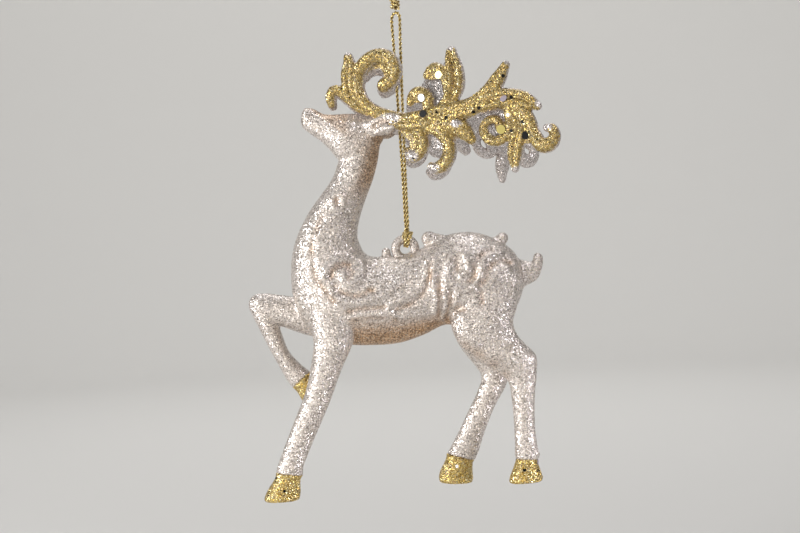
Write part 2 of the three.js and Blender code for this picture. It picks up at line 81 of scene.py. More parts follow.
# ---- curves and lofts ----
def smooth_path(points, per_span):
    """A Catmull-Rom curve through the points, with per_span steps between neighbours."""
    p = np.asarray(points, float)
    p = np.vstack([2 * p[0] - p[1], p, 2 * p[-1] - p[-2]])
    t = np.linspace(0, 1, per_span, endpoint=False)[:, None]
    spans = []
    for a, b, c, d in zip(p, p[1:], p[2:], p[3:]):
        square, cube = 2 * a - 5 * b + 4 * c - d, 3 * b - a - 3 * c + d
        spans.append(0.5 * (2 * b + (c - a) * t + square * t**2 + cube * t**3))
    return np.vstack([*spans, p[-2]])


def even_path(points, step):
    """The same path with points a step apart."""
    length = np.concatenate([[0], np.cumsum(np.linalg.norm(np.diff(points, axis=0), axis=1))])
    count = max(2, int(round(length[-1] / step)))
    at = np.linspace(0, length[-1], count + 1)
    return np.stack([np.interp(at, length, points[:, k]) for k in range(3)], axis=1)


def unit(vectors):
    """The vector, or each row of vectors, at length 1."""
    return vectors / np.maximum(np.linalg.norm(vectors, axis=-1, keepdims=True), 1e-12)


def tangents(points):
    """The direction of a path at each of its points."""
    return unit(np.gradient(points, axis=0))


def around(count):
    """Even angles once round a circle."""
    return np.linspace(0, 2 * math.pi, count, endpoint=False)


def ellipse(count, a, b):
    """Points round an ellipse about the origin, with half axes a and b."""
    angle = around(count)
    return np.outer(np.cos(angle), a) + np.outer(np.sin(angle), b)


def loft(rings):
    """Vertices and faces of a tube through rings of equal size, closed at both ends."""
    count = len(rings[0])
    verts = np.concatenate(rings)
    faces = []
    for i in range(len(rings) - 1):
        a, b = i * count, (i + 1) * count
        faces += [(a + j, a + (j + 1) % count, b + (j + 1) % count, b + j) for j in range(count)]
    last = (len(rings) - 1) * count
    faces.append(tuple(reversed(range(count))))
    faces.append(tuple(range(last, last + count)))
    return verts, faces


# ---- mesh tools ----
def add_object(name, data):
    """A new object of the scene for a mesh, a camera or a light."""
    thing = bpy.data.objects.new(name, data)
    bpy.context.scene.collection.objects.link(thing)
    return thing


def new_object(name, verts, faces):
    mesh = bpy.data.meshes.new(name)
    mesh.from_pydata([tuple(v) for v in verts], [], faces)
    return add_object(name, mesh)


def joined(parts):
    """One list of vertices and one of faces from several."""
    verts, faces, start = [], [], 0
    for part_verts, part_faces in parts:
        verts.append(np.asarray(part_verts))
        faces += [tuple(i + start for i in face) for face in part_faces]
        start += len(part_verts)
    return np.concatenate(verts), faces


def bake_modifiers(piece):
    """Replaces a piece's mesh with what its modifiers make of it."""
    graph = bpy.context.evaluated_depsgraph_get()
    mesh = bpy.data.meshes.new_from_object(piece.evaluated_get(graph))
    piece.modifiers.clear()
    piece.data = mesh


def remesh(piece, voxel, smoothing):
    """One skin of even small faces over everything in the piece, then rounded off."""
    grid = piece.modifiers.new("skin", "REMESH")
    grid.mode = "VOXEL"
    grid.voxel_size = voxel
    grid.use_smooth_shade = True
    soft = piece.modifiers.new("soft", "SMOOTH")
    soft.factor = 0.5
    soft.iterations = smoothing
    bake_modifiers(piece)


def skinned(name, parts, voxel, smoothing):
    """An object with one skin over parts that are given in deer coordinates."""
    verts, faces = joined(parts)
    piece = new_object(name, to_row(verts), faces)
    remesh(piece, voxel, smoothing)
    return piece


def keep_largest(piece):
    """Deletes every loose island but the one with the most vertices."""
    mesh = bmesh.new()
    mesh.from_mesh(piece.data)
    left = set(mesh.verts)
    islands = []
    while left:
        island, shore = set(), [left.pop()]
        while shore:
            vert = shore.pop()
            island.add(vert)
            for edge in vert.link_edges:
                other = edge.other_vert(vert)
                if other in left:
                    left.remove(other)
                    shore.append(other)
        islands.append(island)
    islands.sort(key=len)
    bmesh.ops.delete(mesh, geom=[vert for island in islands[:-1] for vert in island], context="VERTS")
    mesh.to_mesh(piece.data)
    mesh.free()


def vertex_rows(piece, what):
    """A row of three numbers per vertex: its place or its normal."""
    rows = np.empty(len(piece.data.vertices) * 3, np.float32)
    piece.data.vertices.foreach_get(what, rows)
    return rows.reshape(-1, 3).astype(float)


def coordinates(piece):
    return vertex_rows(piece, "co")


def normals(piece):
    return vertex_rows(piece, "normal")


def set_coordinates(piece, places):
    piece.data.vertices.foreach_set("co", np.asarray(places, np.float32).ravel())
    piece.data.update()


def roughen(piece, amount):
    """Grains of glitter: every vertex a little in or out along its normal."""
    shift = rng.normal(0, amount, len(piece.data.vertices))[:, None]
    set_coordinates(piece, coordinates(piece) + normals(piece) * shift)


def paint(piece, name, values):
    """A grey value per vertex that the piece's material reads."""
    layer = piece.data.attributes.new(name, "FLOAT", "POINT")
    layer.data.foreach_set("value", np.asarray(values, np.float32))


def smoothstep(low, high, x):
    """0 up to low, 1 from high on, with a soft slope between. High may be the smaller one."""
    t = np.clip((x - low) / (high - low), 0, 1)
    return t * t * (3 - 2 * t)


# ---- materials ----
def node_material(name):
    material = bpy.data.materials.new(name)
    material.use_nodes = True
    nodes = material.node_tree.nodes
    return material, nodes, nodes["Principled BSDF"]


def feed(node, values):
    """Sets inputs of a node to constants, or links them to other nodes' outputs."""
    for name, value in values.items():
        if isinstance(value, bpy.types.NodeSocket):
            node.id_data.links.new(value, node.inputs[name])
        else:
            node.inputs[name].default_value = value


def vector_node(nodes, operation, *values):
    """The result of a vector operation on other nodes' outputs and constant vectors."""
    node = nodes.new("ShaderNodeVectorMath")
    node.operation = operation
    feed(node, dict(enumerate(values)))
    return node.outputs[0]


def mix_colour(nodes, factor, a, b):
    node = nodes.new("ShaderNodeMix")
    node.data_type = "RGBA"
    feed(node, {"Factor": factor, "A": a, "B": b})
    return node.outputs["Result"]


def painted(nodes, name):
    """The node that reads the values painted on a mesh under that name."""
    node = nodes.new("ShaderNodeAttribute")
    node.attribute_name = name
    return node


def spread_between(nodes, value, low, high):
    """A value from 0 to 1 brought to the range from low to high."""
    node = nodes.new("ShaderNodeMapRange")
    feed(node, {"Value": value, "To Min": low, "To Max": high})
    return node.outputs["Result"]


def cells(nodes, size):
    """The node of a flake pattern with cells of that size, and the three parts of its random colour."""
    place = nodes.new("ShaderNodeTexCoord")
    voronoi = nodes.new("ShaderNodeTexVoronoi")
    feed(voronoi, {"Vector": place.outputs["Object"], "Scale": 1 / size})
    parts = nodes.new("ShaderNodeSeparateColor")
    feed(parts, {0: voronoi.outputs["Color"]})
    return voronoi, parts.outputs


def ramp(nodes, factor, stops):
    """A colour that runs through stops of (place from 0 to 1, colour)."""
    node = nodes.new("ShaderNodeValToRGB")
    band = node.color_ramp
    while len(band.elements) < len(stops):
        band.elements.new(0.5)
    for element, (at, colour) in zip(band.elements, stops):
        element.position = at
        element.color = (*colour, 1)
    feed(node, {"Fac": factor})
    return node.outputs["Color"]


def glitter(name, stops, tint=None, tint_stops=None, shade=None, tilt=0.7, metallic=0.68):
    """Metal flakes bound in a clear coat. Each flake has a colour from stops, a lean and a gloss of
    its own. Where the painted value tint is 1, the colours come from tint_stops, and where the painted
    value shade is 1, they are darkened to the colour of the painted shade."""
    material, nodes, shader = node_material(name)
    flakes, parts = cells(nodes, GLITTER_SIZE)
    base = ramp(nodes, parts[0], stops)
    if tint:
        other = ramp(nodes, parts[0], tint_stops)
        base = mix_colour(nodes, painted(nodes, tint).outputs["Fac"], base, other)
    if shade:
        base = mix_colour(nodes, painted(nodes, shade).outputs["Fac"], base, PAINTED_SHADE_COLOUR)
    surface = nodes.new("ShaderNodeNewGeometry")
    lean = vector_node(nodes, "SUBTRACT", flakes.outputs["Color"], (0.5, 0.5, 0.5))
    lean = vector_node(nodes, "MULTIPLY", lean, (tilt, tilt, tilt))
    leaning = vector_node(nodes, "ADD", surface.outputs["Normal"], lean)
    feed(shader, {
        "Base Color": base,
        "Normal": vector_node(nodes, "NORMALIZE", leaning),
        "Roughness": spread_between(nodes, parts[1], 0.18, 0.5),
        "Metallic": metallic,
        "Coat Weight": 0.15,
        "Coat Roughness": 0.2,
    })
    return material


GLITTER_SIZE = 0.25 * MM
FILM_SIZE = 0.16 * MM
# The colours that the flakes are shared out over: [place from 0 to 1, colour].
SILVER = [
    (0, (0.05, 0.04, 0.04)), (0.22, (0.46, 0.40, 0.35)), (0.45, (0.79, 0.71, 0.63)),
    (0.75, (0.86, 0.78, 0.76)), (1, (1, 0.95, 0.88)),
]
# Painted shade: the warm browns that the coat is darkened to in its grooves and on its nape, crown, brow
# and belly, with a painted warm reflection under the belly.
WARM_SHADE = [
    (0, (0.05, 0.03, 0.02)), (0.3, (0.25, 0.14, 0.07)), (0.65, (0.60, 0.37, 0.20)),
    (0.85, (0.95, 0.64, 0.40)), (1, (1, 0.88, 0.72)),
]
GOLD = [
    (0, (0.10, 0.05, 0.01)), (0.18, (0.34, 0.21, 0.04)), (0.42, (0.62, 0.44, 0.11)),
    (0.55, (0.64, 0.43, 0.22)), (0.68, (0.80, 0.61, 0.20)), (0.82, (0.90, 0.76, 0.36)),
    (0.9, (0.70, 0.57, 0.34)), (1, (1, 0.92, 0.58)),
]
LAVENDER = [
    (0, (0.28, 0.23, 0.22)), (0.35, (0.78, 0.71, 0.67)), (0.8, (0.97, 0.90, 0.87)),
    (1, (1, 0.98, 0.97)),
]
THREAD = [
    (0, (0.34, 0.21, 0.04)), (0.5, (0.78, 0.57, 0.18)), (1, (1, 0.93, 0.60)),
]
# Painted shade: the dark brown that the hollows between the cord's plies are darkened to.
THREAD_SHADE = (0.12, 0.065, 0.012, 1)
# Painted shade: the dark colour that the antlers are darkened towards, a little on their outer faces and
# more in the recesses between strokes.
PAINTED_SHADE_COLOUR = (0.09, 0.078, 0.07, 1)


def thread_material():
    """Metallised film wound round the plies of the cord, with painted shade in the hollows between the
    plies.
    """
    material, nodes, shader = node_material("gold_thread")
    wraps, parts = cells(nodes, FILM_SIZE)
    film = ramp(nodes, parts[0], THREAD)
    bump = nodes.new("ShaderNodeBump")
    feed(bump, {"Height": wraps.outputs["Distance"], "Strength": 0.6, "Distance": 0.03 * MM})
    feed(shader, {
        "Base Color": mix_colour(nodes, painted(nodes, "ply_shade").outputs["Fac"], film, THREAD_SHADE),
        "Normal": bump.outputs["Normal"],
        "Metallic": 0.75,
        "Roughness": 0.3,
    })
    return material


def flake_material():
    """Bare metal flakes, each in the colour stored as tone, dulled in patches by a clear coat. The black
    tone is a painted reflection of a dark room, and the white one a painted glint.
    """
    material, nodes, shader = node_material("flake_metal")
    noise = nodes.new("ShaderNodeTexNoise")
    feed(noise, {"Scale": 1500})
    feed(shader, {
        "Base Color": painted(nodes, "tone").outputs["Color"],
        "Roughness": spread_between(nodes, noise.outputs["Fac"], 0.3, 0.5),
        "Metallic": 0.4,
        "Specular IOR Level": 0.1,
    })
    return material


# The coat's flakes turn to warm browns where painted shade is painted on it.
pearl = glitter("pearl_glitter", SILVER, "painted_warm_shade", WARM_SHADE)
gilded = glitter("gold_glitter", LAVENDER, "gilding", GOLD, "painted_shade", tilt=0.9, metallic=0.8)
hoof_gold = glitter("hoof_gold", GOLD, tilt=0.9, metallic=0.8)
thread = thread_material()
flake_metal = flake_material()


def finish_piece(piece, body, slot, material, *nodes):
    """Gives a piece its material and its body, and hides the CAD nodes that it stands for. The slot is not
    used.
    """
    piece.data.materials.append(material)
    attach(piece, body)
    if nodes:
        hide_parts(*nodes)
    return piece


# ---- camera ----
CAMERA_PLACE = (-1.56, -400, -5.34)  # deer coordinates


def make_camera():
    """A camera beside the deer, which looks along +Y and is tilted like the figure."""
    data = bpy.data.cameras.new("camera")
    data.sensor_width = 36
    data.lens = 60
    camera = add_object("camera", data)
    place = Vector(to_row(CAMERA_PLACE))
    right, up, back = TILT.col[0], TILT.col[2], -TILT.col[1]
    camera.matrix_world = Matrix.Translation(place) @ Matrix((right, up, back)).transposed().to_4x4()
    data.clip_start = 0.01
    data.clip_end = 20
    bpy.context.scene.camera = camera


make_camera()

# ---- cord ----
# The cord is in the row frame, in mm. Its origin is the point where the loop bears on its hook.
CORD_RADIUS = 0.5
CORD_PITCH = 2.8
CORD_SIDES = 16
PLY_OFFSET = 0.46  # of each ply from the cord's middle, as a share of the cord's radius
CORD_STEP = 0.14
KNOT_STEP = 0.12
HANGER_RADIUS = 1.6
EYELET_RADIUS = 2.9
EYELET_THICKNESS = 2.7
LOOP_TURN = math.radians(35)
HITCH_ANGLE = math.radians(15)
HITCH_X = EYELET_RADIUS * math.sin(HITCH_ANGLE)
HITCH_HEIGHT = 3.9
STRAND_FOOT = EYELET_RADIUS * math.cos(HITCH_ANGLE) - LOOP_DROP + HITCH_HEIGHT
# A strand from the hitch up: [how far it stands from the loop's middle line, height].
STRAND = [
    (0.58, STRAND_FOOT), (0.6, -58), (0.7, -48), (0.9, -38), (1.15, -28), (1.45, -18), (1.75, -9),
    (2, -4.5),
]


def loop_point(offset, height):
    """A point of the loop, whose plane is turned a little about Z and leans over to the hitch."""
    middle = HITCH_X * max(0, height / STRAND_FOOT)
    return (middle + math.sin(LOOP_TURN) * offset, -math.cos(LOOP_TURN) * offset, height)


def cord_route():
    """The middle of the cord from the hitch, up and over the hook and down again, in metres."""
    bend = HANGER_RADIUS + CORD_RADIUS
    over = []
    for degrees in range(0, 181, 30):
        angle = math.radians(degrees)
        over.append(loop_point(-bend * math.cos(angle), -HANGER_RADIUS + bend * math.sin(angle)))
    up = [loop_point(-offset, height) for offset, height in STRAND]
    down = [loop_point(offset, height) for offset, height in reversed(STRAND)]
    return even_path(smooth_path(up + over + down, 24), CORD_STEP) * MM


def twisted(route, radius):
    """A cord of two plies along the route, in metres."""
    along = tangents(route)
    side = unit(np.cross(along[0], (0.3, 0.9, 0.2)))
    angle = around(CORD_SIDES)
    rings = []
    travelled = 0.0
    for i, (point, direction) in enumerate(zip(route, along)):
        if i:
            travelled += np.linalg.norm(point - route[i - 1])
        side = unit(side - direction * side.dot(direction))
        other = np.cross(direction, side)
        turned = angle - 2 * math.pi * travelled / (CORD_PITCH * MM)
        reach = radius * (PLY_OFFSET * np.abs(np.cos(turned))
                          + np.sqrt((1 - PLY_OFFSET) ** 2 - (PLY_OFFSET * np.sin(turned)) ** 2))
        aside, apart = (np.cos(angle) * reach)[:, None], (np.sin(angle) * reach)[:, None]
        rings.append(point + side * aside + other * apart)
    return loft(rings)


def paint_hollows(piece):
    """Paints shade into the hollows between the plies of a piece made of twisted cords."""
    rings = coordinates(piece).reshape(-1, CORD_SIDES, 3)
    reach = np.linalg.norm(rings - rings.mean(axis=1, keepdims=True), axis=2)
    share = reach / reach.max(axis=1, keepdims=True)
    paint(piece, "ply_shade", smoothstep(0.82, 0.52, share).ravel())


def cord_piece(name, verts, faces, node):
    """A piece of the hanger made of twisted cords, which stands for that CAD node."""
    piece = new_object(name, verts, faces)
    paint_hollows(piece)
    return finish_piece(piece, "hanger", "gold_thread", thread, node)


def laid(points, radius, per_span):
    """A short cord laid smoothly through points, all in mm, with per_span steps between them."""
    return twisted(even_path(smooth_path(points, per_span), KNOT_STEP) * MM, radius * MM)


# The hitch's two turns: their gap from the eyelet's bar, how far each lies from the hitch's middle,
# and how much further out it is on top of the bar than beside it.
TURN_GAP = 0.3
TURN_X = 0.58
TURN_SPREAD = 0.25
TURN_POINTS = 60
# The bight laid over the turns: [x, y, z] from their top.
BIGHT = [
    (-0.6, 0.6, -0.2), (-1, -0.9, -0.5), (-1.1, -1.9, -1.5), (-0.6, -2.3, -2.3), (0, -2.35, -2.5),
    (0.6, -2.3, -2.3), (1.1, -1.9, -1.5), (1, -0.9, -0.5), (0.6, 0.6, -0.2),
]
BIGHT_RADIUS = CORD_RADIUS * 0.9


def make_hitch():
    """A girth hitch: two turns round the eyelet's bar, held by a bight laid over them."""
    turn_radius = EYELET_THICKNESS / 2 + TURN_GAP + CORD_RADIUS
    tip = np.array(Matrix.Rotation(HITCH_ANGLE, 3, "Y")).T
    angle = np.linspace(0, 2 * math.pi, TURN_POINTS)
    parts = []
    for side in (-1, 1):
        x = side * (TURN_X + TURN_SPREAD * np.cos(angle))
        z = EYELET_RADIUS + turn_radius * np.cos(angle)
        ring = np.stack([x, turn_radius * np.sin(angle), z], axis=1)
        parts.append(twisted(ring @ tip * MM + np.array(EYELET), CORD_RADIUS * MM))
    top = EYELET_RADIUS + turn_radius - LOOP_DROP
    route = np.array([(HITCH_X + x, y, top + z) for x, y, z in BIGHT])
    parts.append(laid(route, BIGHT_RADIUS, 12))
    for side in (-1, 1):
        x, y, z = loop_point(-side * STRAND[0][0], STRAND_FOOT)
        parts.append(laid([
            (x, y, z),
            (HITCH_X + side * 0.4, y * 0.7 - 0.3, z - 1.2),
            (HITCH_X + side * 0.35, -1.3, top - 0.5),
            (HITCH_X + side * 0.3, -2.0, top - 1.6),
        ], CORD_RADIUS, 10))
    return cord_piece("cord_hitch_wraps", *joined(parts), "cord_hitch")


# The knot's foot and the turns wound round both strands above it.
KNOT_FOOT = 1.3
KNOT_TURNS = 2.6
KNOT_POINTS = 150
KNOT_RISE = (0.45, 2.9)
KNOT_GIRTH = 1.05
KNOT_UNEVEN = 0.12
KNOT_DEPTH = 0.85  # of the turns along Y, as a share of their girth
CORE_RADIUS = 0.75
END_RADIUS = 0.48


def make_knot():
    """An overhand knot of both strands, with the two cut ends standing out of it."""
    turns = np.linspace(0, KNOT_TURNS * 2 * math.pi, KNOT_POINTS)
    rise = np.linspace(*KNOT_RISE, KNOT_POINTS)
    girth = KNOT_GIRTH + KNOT_UNEVEN * np.sin(turns * 0.5)
    wrap = np.stack([girth * np.cos(turns), girth * KNOT_DEPTH * np.sin(turns), KNOT_FOOT + rise], axis=1)
    parts = [
        twisted(even_path(wrap, KNOT_STEP) * MM, CORD_RADIUS * MM),
        laid([(0, 0, KNOT_FOOT + 0.5), (0.1, 0, KNOT_FOOT + 1.6), (0, 0, KNOT_FOOT + 3)], CORE_RADIUS, 8),
    ]
    for lean in (-1, 1):
        parts.append(laid([
            (0.2 * lean, 0, KNOT_FOOT + 2.4),
            (0.55 * lean, 0.1, KNOT_FOOT + 4.0),
            (0.9 * lean, 0, KNOT_FOOT + 5.4),
            (1.35 * lean, -0.1, KNOT_FOOT + 6.9),
        ], END_RADIUS, 8))
    return cord_piece("cord_knot_wraps", *joined(parts), "cord_knot")


def make_cord():
    route = cord_route()
    cord = cord_piece("hang_cord_twist", *twisted(route, CORD_RADIUS * MM), "hang_cord")
    pieces = [make_hitch(), make_knot()]


make_cord()


# ---- body ----
# A limb is a list of sections [x, z, x, z, half width, y]: two facing points of its outline in side
# view, half its width, and how far its middle lies from the deer's middle plane. Deer coordinates.
TRUNK_AND_NECK = [
    (35.3, -6.5, 35.6, -11.5, 2.5, 0),
    (32.8, -1.2, 33.2, -17.5, 6.6, 0),
    (28, 2.4, 27, -23, 9.2, 0),
    (21, 4.9, 19, -24.5, 10.4, 0),
    (13.5, 4.4, 12.5, -22.7, 10.3, 0),
    (6.5, 1, 5.6, -25.8, 10, 0),
    (0, -1.9, -1.6, -28.2, 10.3, 0),
    (-6, -2.4, -9.7, -28.9, 10.8, 0),
    (-10.5, -2.2, -18, -28.6, 11, 0),
    (-12.7, -0.6, -27, -26, 10.8, 0),
    (-13.4, 1, -33, -16.5, 10, 0),
    (-14.2, 3.2, -34.2, -6.5, 8.8, 0),
    (-14.2, 6, -33, 2, 7.8, 0),
    (-13.4, 10, -29.3, 10.2, 6.6, 0),
    (-11.6, 15.5, -25.3, 16, 5.8, 0),
    (-9.6, 21, -21.8, 21.2, 5.2, 0),
    (-8.2, 26.5, -20.3, 25.4, 5, 0),
    (-7.6, 31, -18.5, 29.5, 4.6, 0),
]
HEAD = [
    (-7.2, 37, -7.4, 31.5, 2.6, 0),
    (-9.6, 39.4, -9.4, 27, 4.7, 0),
    (-14, 40.4, -14.5, 23.5, 5.6, 0),
    (-18, 40.4, -19, 25.6, 5.6, 0),
    (-21.5, 40.2, -22.4, 29.4, 4.7, 0),
    (-24.5, 40.4, -25.1, 32.1, 3.7, 0),
    (-27.4, 41.9, -27.9, 34, 3.3, 0),
    (-29.3, 42.2, -30.3, 35.8, 2.9, 0),
]
EAR = [
    (-12, 38.4, -11.5, 33.8, 1.6, 3.6),
    (-8, 39.3, -7.6, 33.4, 1.9, 5.3),
    (-4.6, 39.3, -4.8, 33.6, 1.6, 6.8),
    (-2.4, 38.6, -2.8, 35, 1, 7.8),
]
TAIL = [
    (33.5, -2.8, 34, -10, 2.6, 0),
    (36.2, -3.6, 36.9, -10.7, 2.1, 0),
    (38, -3.7, 39.9, -8.8, 1.8, 0),
    (38.3, -3.2, 41.2, -5.2, 1.7, 0),
    (38.5, -2, 41.4, -3, 1.5, 0),
]
LEFT_FORELEG = [
    (-30, -13, -12, -14.5, 4.2, 5),
    (-28.3, -22, -14.5, -23.8, 4.9, 5.8),
    (-27.1, -27.7, -15.9, -29.2, 4.6, 6),
    (-27.7, -33.7, -18.6, -35.4, 4, 6),
    (-29, -40.5, -21, -42, 3.6, 6),
    (-30.3, -44.8, -22.8, -46.8, 3.3, 6),
    (-32.8, -51, -25.6, -53.4, 3, 6),
    (-35.2, -57.3, -27.9, -58.9, 2.9, 6),
    (-37.4, -63.3, -30, -64.3, 3.2, 6),
    (-38.2, -66.3, -30.2, -67.1, 3.2, 6),
]
RIGHT_FORELEG = [
    (-23, -12, -22, -27, 4.2, 4.6),
    (-31, -14.6, -28.5, -26.5, 4.4, 5),
    (-37.5, -14, -34.5, -24.6, 3.9, 5),
    (-42.5, -13.5, -37.2, -23.6, 3.6, 5),
    (-46.2, -14.2, -37.9, -23.6, 3.5, 5),
    (-47.5, -17.4, -37.9, -24.4, 3.4, 5),
    (-44.8, -23.2, -36.9, -27.2, 3.2, 5),
    (-41.8, -29.2, -35.2, -31.2, 3, 5),
    (-38.6, -35, -32.2, -34.5, 3, 5),
    (-36, -39.6, -30, -36.4, 3.1, 5),
    (-34.1, -42.2, -28.6, -37.2, 3.2, 5),
]
LEFT_HIND_LEG = [
    (14.5, -7, 33.5, -7, 4, 4.6),
    (13.4, -18, 33.1, -17, 5.2, 5.5),
    (13.6, -23.2, 31.9, -21.3, 5, 5.8),
    (15.8, -28, 32.9, -25, 4.5, 6),
    (20.5, -32.8, 35.7, -28.4, 4, 6),
    (27, -36.4, 38.7, -31.6, 3.5, 6),
    (30.4, -39.4, 38.9, -36.4, 3.2, 6),
    (31.4, -44, 38.3, -43.4, 3, 6),
    (32.1, -51, 38.3, -50.8, 2.9, 6),
    (32.4, -57.5, 38.9, -57.4, 3, 6),
    (32.4, -60.8, 39.8, -60.8, 3.3, 6),
    (32.7, -62.2, 39.4, -62.2, 3.2, 6),
]
RIGHT_HIND_LEG = [
    (14.5, -7, 33.5, -7, 4, 4.6),
    (13.6, -18, 33.1, -17, 5.2, 5.3),
    (14.2, -24.2, 31.6, -22.2, 5, 5.5),
    (17, -30.2, 31, -26.4, 4.4, 5.8),
    (20.9, -35, 31.8, -32, 3.8, 6),
    (23.2, -38.8, 32, -36.8, 3.4, 6),
    (22, -43.4, 30.5, -42, 3.2, 6),
    (19.5, -48.8, 27, -48.6, 3, 6),
    (16.4, -55.4, 24.1, -56.2, 2.9, 6),
    (13.7, -60.6, 22.4, -61.5, 3.1, 6),
    (12.8, -62.3, 21.3, -64.2, 3.3, 6),
]
LEGS = [(LEFT_FORELEG, -1), (RIGHT_FORELEG, 1), (LEFT_HIND_LEG, -1), (RIGHT_HIND_LEG, 1)]
# Scroll ends on the line of the back: [ball, root, radius].
BACK_KNOBS = [
    ((7.1, 3), (11, 1.4), 2.3), ((29.2, 3.2), (26.6, 1), 1.8), ((-5.7, -1), (-5.4, -4), 1.4),
]
# The moulded scrollwork of the shoulder, flank and haunch: [points (x, z), height, half width].
# A height below nothing is a groove.
RELIEF = [
    ([
        (-21, 12.5), (-21.5, 14.5), (-20.5, 16), (-18.5, 15), (-18.5, 12.5), (-19.5, 10.5), (-21.5, 8.5),
        (-24, 6), (-26, 3),
    ], 0.40, 0.9),
    ([(-20.3, 14.2), (-20, 13)], -0.45, 0.6),
    ([(-24.5, 9), (-26.3, 5), (-27.5, 0), (-27, -4), (-26, -9), (-23.5, -12.5), (-21, -15.5)], -0.35, 0.6),
    ([
        (-23.5, -12.5), (-24, -9.5), (-22.8, -6), (-19.3, -3.3), (-16, -2.6), (-13.2, -4.3), (-12.8, -7.5),
        (-14.6, -10.5), (-17.3, -10.2), (-18.5, -7.8),
    ], 0.65, 1.1),
    ([(-21.6, -8.5), (-21, -6.3), (-18.8, -4.9), (-16.3, -5)], -0.55, 0.5),
    ([(-16.2, -8.4), (-15.6, -7), (-16.6, -6)], -0.4, 0.5),
    ([
        (-22, -10), (-21.5, -13), (-19, -15.3), (-15, -16), (-11, -15.2), (-6.5, -13.3), (-4, -12.2),
    ], 0.55, 1),
    ([(-20.3, -11.3), (-18.2, -13.2), (-14.6, -13.9), (-11.5, -13.2)], -0.4, 0.5),
    ([(-10.6, -12.2), (-9.6, -12.4)], -0.45, 0.6),
    ([(-16.5, -18.5), (-11, -17.6), (-6.5, -17.3)], -0.5, 0.5),
    ([(-16, -20.2), (-11, -19.4), (-6.5, -19.4)], 0.35, 0.9),
    ([
        (-3, -20), (-4.8, -18.2), (-4.2, -16), (-1.2, -15), (2.5, -13), (5, -10.3), (6.2, -7), (6.4, -3.5),
    ], 0.45, 0.9),
    ([(-2.4, -17.8), (0.2, -17), (3.5, -15.2), (6, -12.2), (7.1, -8.5), (7.4, -4.5)], -0.45, 0.5),
    ([(8.8, -2.5), (8.3, -7), (8.3, -11), (9, -15), (8.6, -19)], 0.75, 0.9),
    ([(10.2, -8), (10, -12), (10.3, -16), (9.8, -20)], -0.35, 0.5),
    ([(12, -9), (11.5, -12.5), (11.9, -16.5), (11, -20.5)], 0.6, 0.8),
    ([(13.3, -13), (13.2, -16.5), (12.2, -20)], -0.3, 0.5),
    ([(15, -13.5), (14.6, -16.5), (13.4, -20)], 0.5, 0.75),
    ([(-3.5, -12), (-0.5, -9.5), (2.5, -6), (4, -3)], 0.3, 0.9),
    ([
        (16.5, -8.3), (18.3, -6), (18, -3), (16, -1.3), (13.5, -1.9), (12.4, -4.5), (13, -8.5),
        (14.8, -11.3), (17.7, -12.3), (20.2, -10.6), (22.3, -7), (22.9, -3.9), (25.2, -2), (28, -1.6),
    ], 0.6, 0.9),
    ([(15, -3.5), (15.4, -6)], -0.55, 0.6),
    ([(18.8, -9.6), (20.3, -8), (20.7, -4.5), (22.5, -1.8), (25.6, -0.3)], -0.5, 0.5),
    ([(21.8, -11), (24, -8.6), (24.9, -5.6), (28.2, -3.6), (31, -4.2)], -0.5, 0.5),
    ([(22.2, -13), (22.7, -16)], -0.35, 0.6),
    ([(25, -11), (26.8, -7.4), (30, -6)], 0.35, 1),
    ([(32, -9.6), (31.6, -14)], 0.4, 1),
    ([(17, -17.5), (14.2, -18.6), (13, -21)], -0.5, 0.6),
    ([(16.3, -20), (18.6, -24), (21.5, -29.5), (25, -33.5)], 0.5, 1.5),
    ([(18, -29), (22, -31), (26, -33.6), (28.6, -36), (29.8, -38.4)], -0.28, 1.1),
    ([(-9, 36.2), (-6.6, 37.3), (-4, 37.6)], -0.7, 0.7),
    ([(-8.3, 34.2), (-5.8, 35.2), (-3.6, 35.8)], 0.35, 0.7),
    ([(-28.2, 39.9), (-29.4, 39.3)], -0.12, 0.5),
    ([(-30.6, 37.9), (-28, 36.8), (-25.6, 35.4)], -0.12, 0.35),
    ([(-26.5, 39.3), (-22, 37.9), (-19.8, 37.6)], 0.25, 0.8),
]
RELIEF_SCALE = 1.2  # on the heights and depths above
GROOVE_SPREAD = 1.5  # on the grooves' half widths
RELIEF_STEPS = 6
RELIEF_REACH = 3  # in widths, beyond which a ridge or groove is left out
FULL_CUT = 0.5  # the depth from which a groove takes its full painted shade
# How much painted shade the grooves, nape, crown and brow take, beside the belly's 1.
GROOVE_SHADE = 0.7
NAPE_SHADE = 0.8
CROWN_SHADE = 0.3
BROW_SHADE = 0.45
LIMB_SIDES = 40
RINGS_PER_SECTION = 6
DOME_PARTS = (0.25, 0.5, 0.7, 0.85, 0.95, 0.99)  # of a rounded end's length, where it has rings
BALL_RINGS = 15
BALL_SIDES = 24
EYELET_RINGS = 97
EYELET_SIDES = 32
BODY_VOXEL = 0.3 * MM
BODY_GRAIN = 0.03
SEAM_GAP = 0.05


def domed(ring, length, outward):
    """Rings that round off an end over that length, from its last full ring outward."""
    centre = ring.mean(axis=0)
    across = ring - centre
    return [centre + outward * length * part + across * math.sqrt(1 - part**2) for part in DOME_PARTS]


def limb(sections, side=1, start_dome=1.5, end_dome=1.5):
    """A smooth loft through a limb's sections, in deer coordinates."""
    fine = smooth_path(sections, RINGS_PER_SECTION)
    rings = []
    for ax, az, bx, bz, width, y in fine:
        middle = np.array([(ax + bx) / 2, side * y, (az + bz) / 2])
        rings.append(middle + ellipse(LIMB_SIDES, ((bx - ax) / 2, 0, (bz - az) / 2), (0, width, 0)))
    start = unit(rings[0].mean(axis=0) - rings[1].mean(axis=0))
    end = unit(rings[-1].mean(axis=0) - rings[-2].mean(axis=0))
    first = domed(rings[0], start_dome, start)[::-1] if start_dome else []
    last = domed(rings[-1], end_dome, end) if end_dome else []
    return loft([*first, *rings, *last])


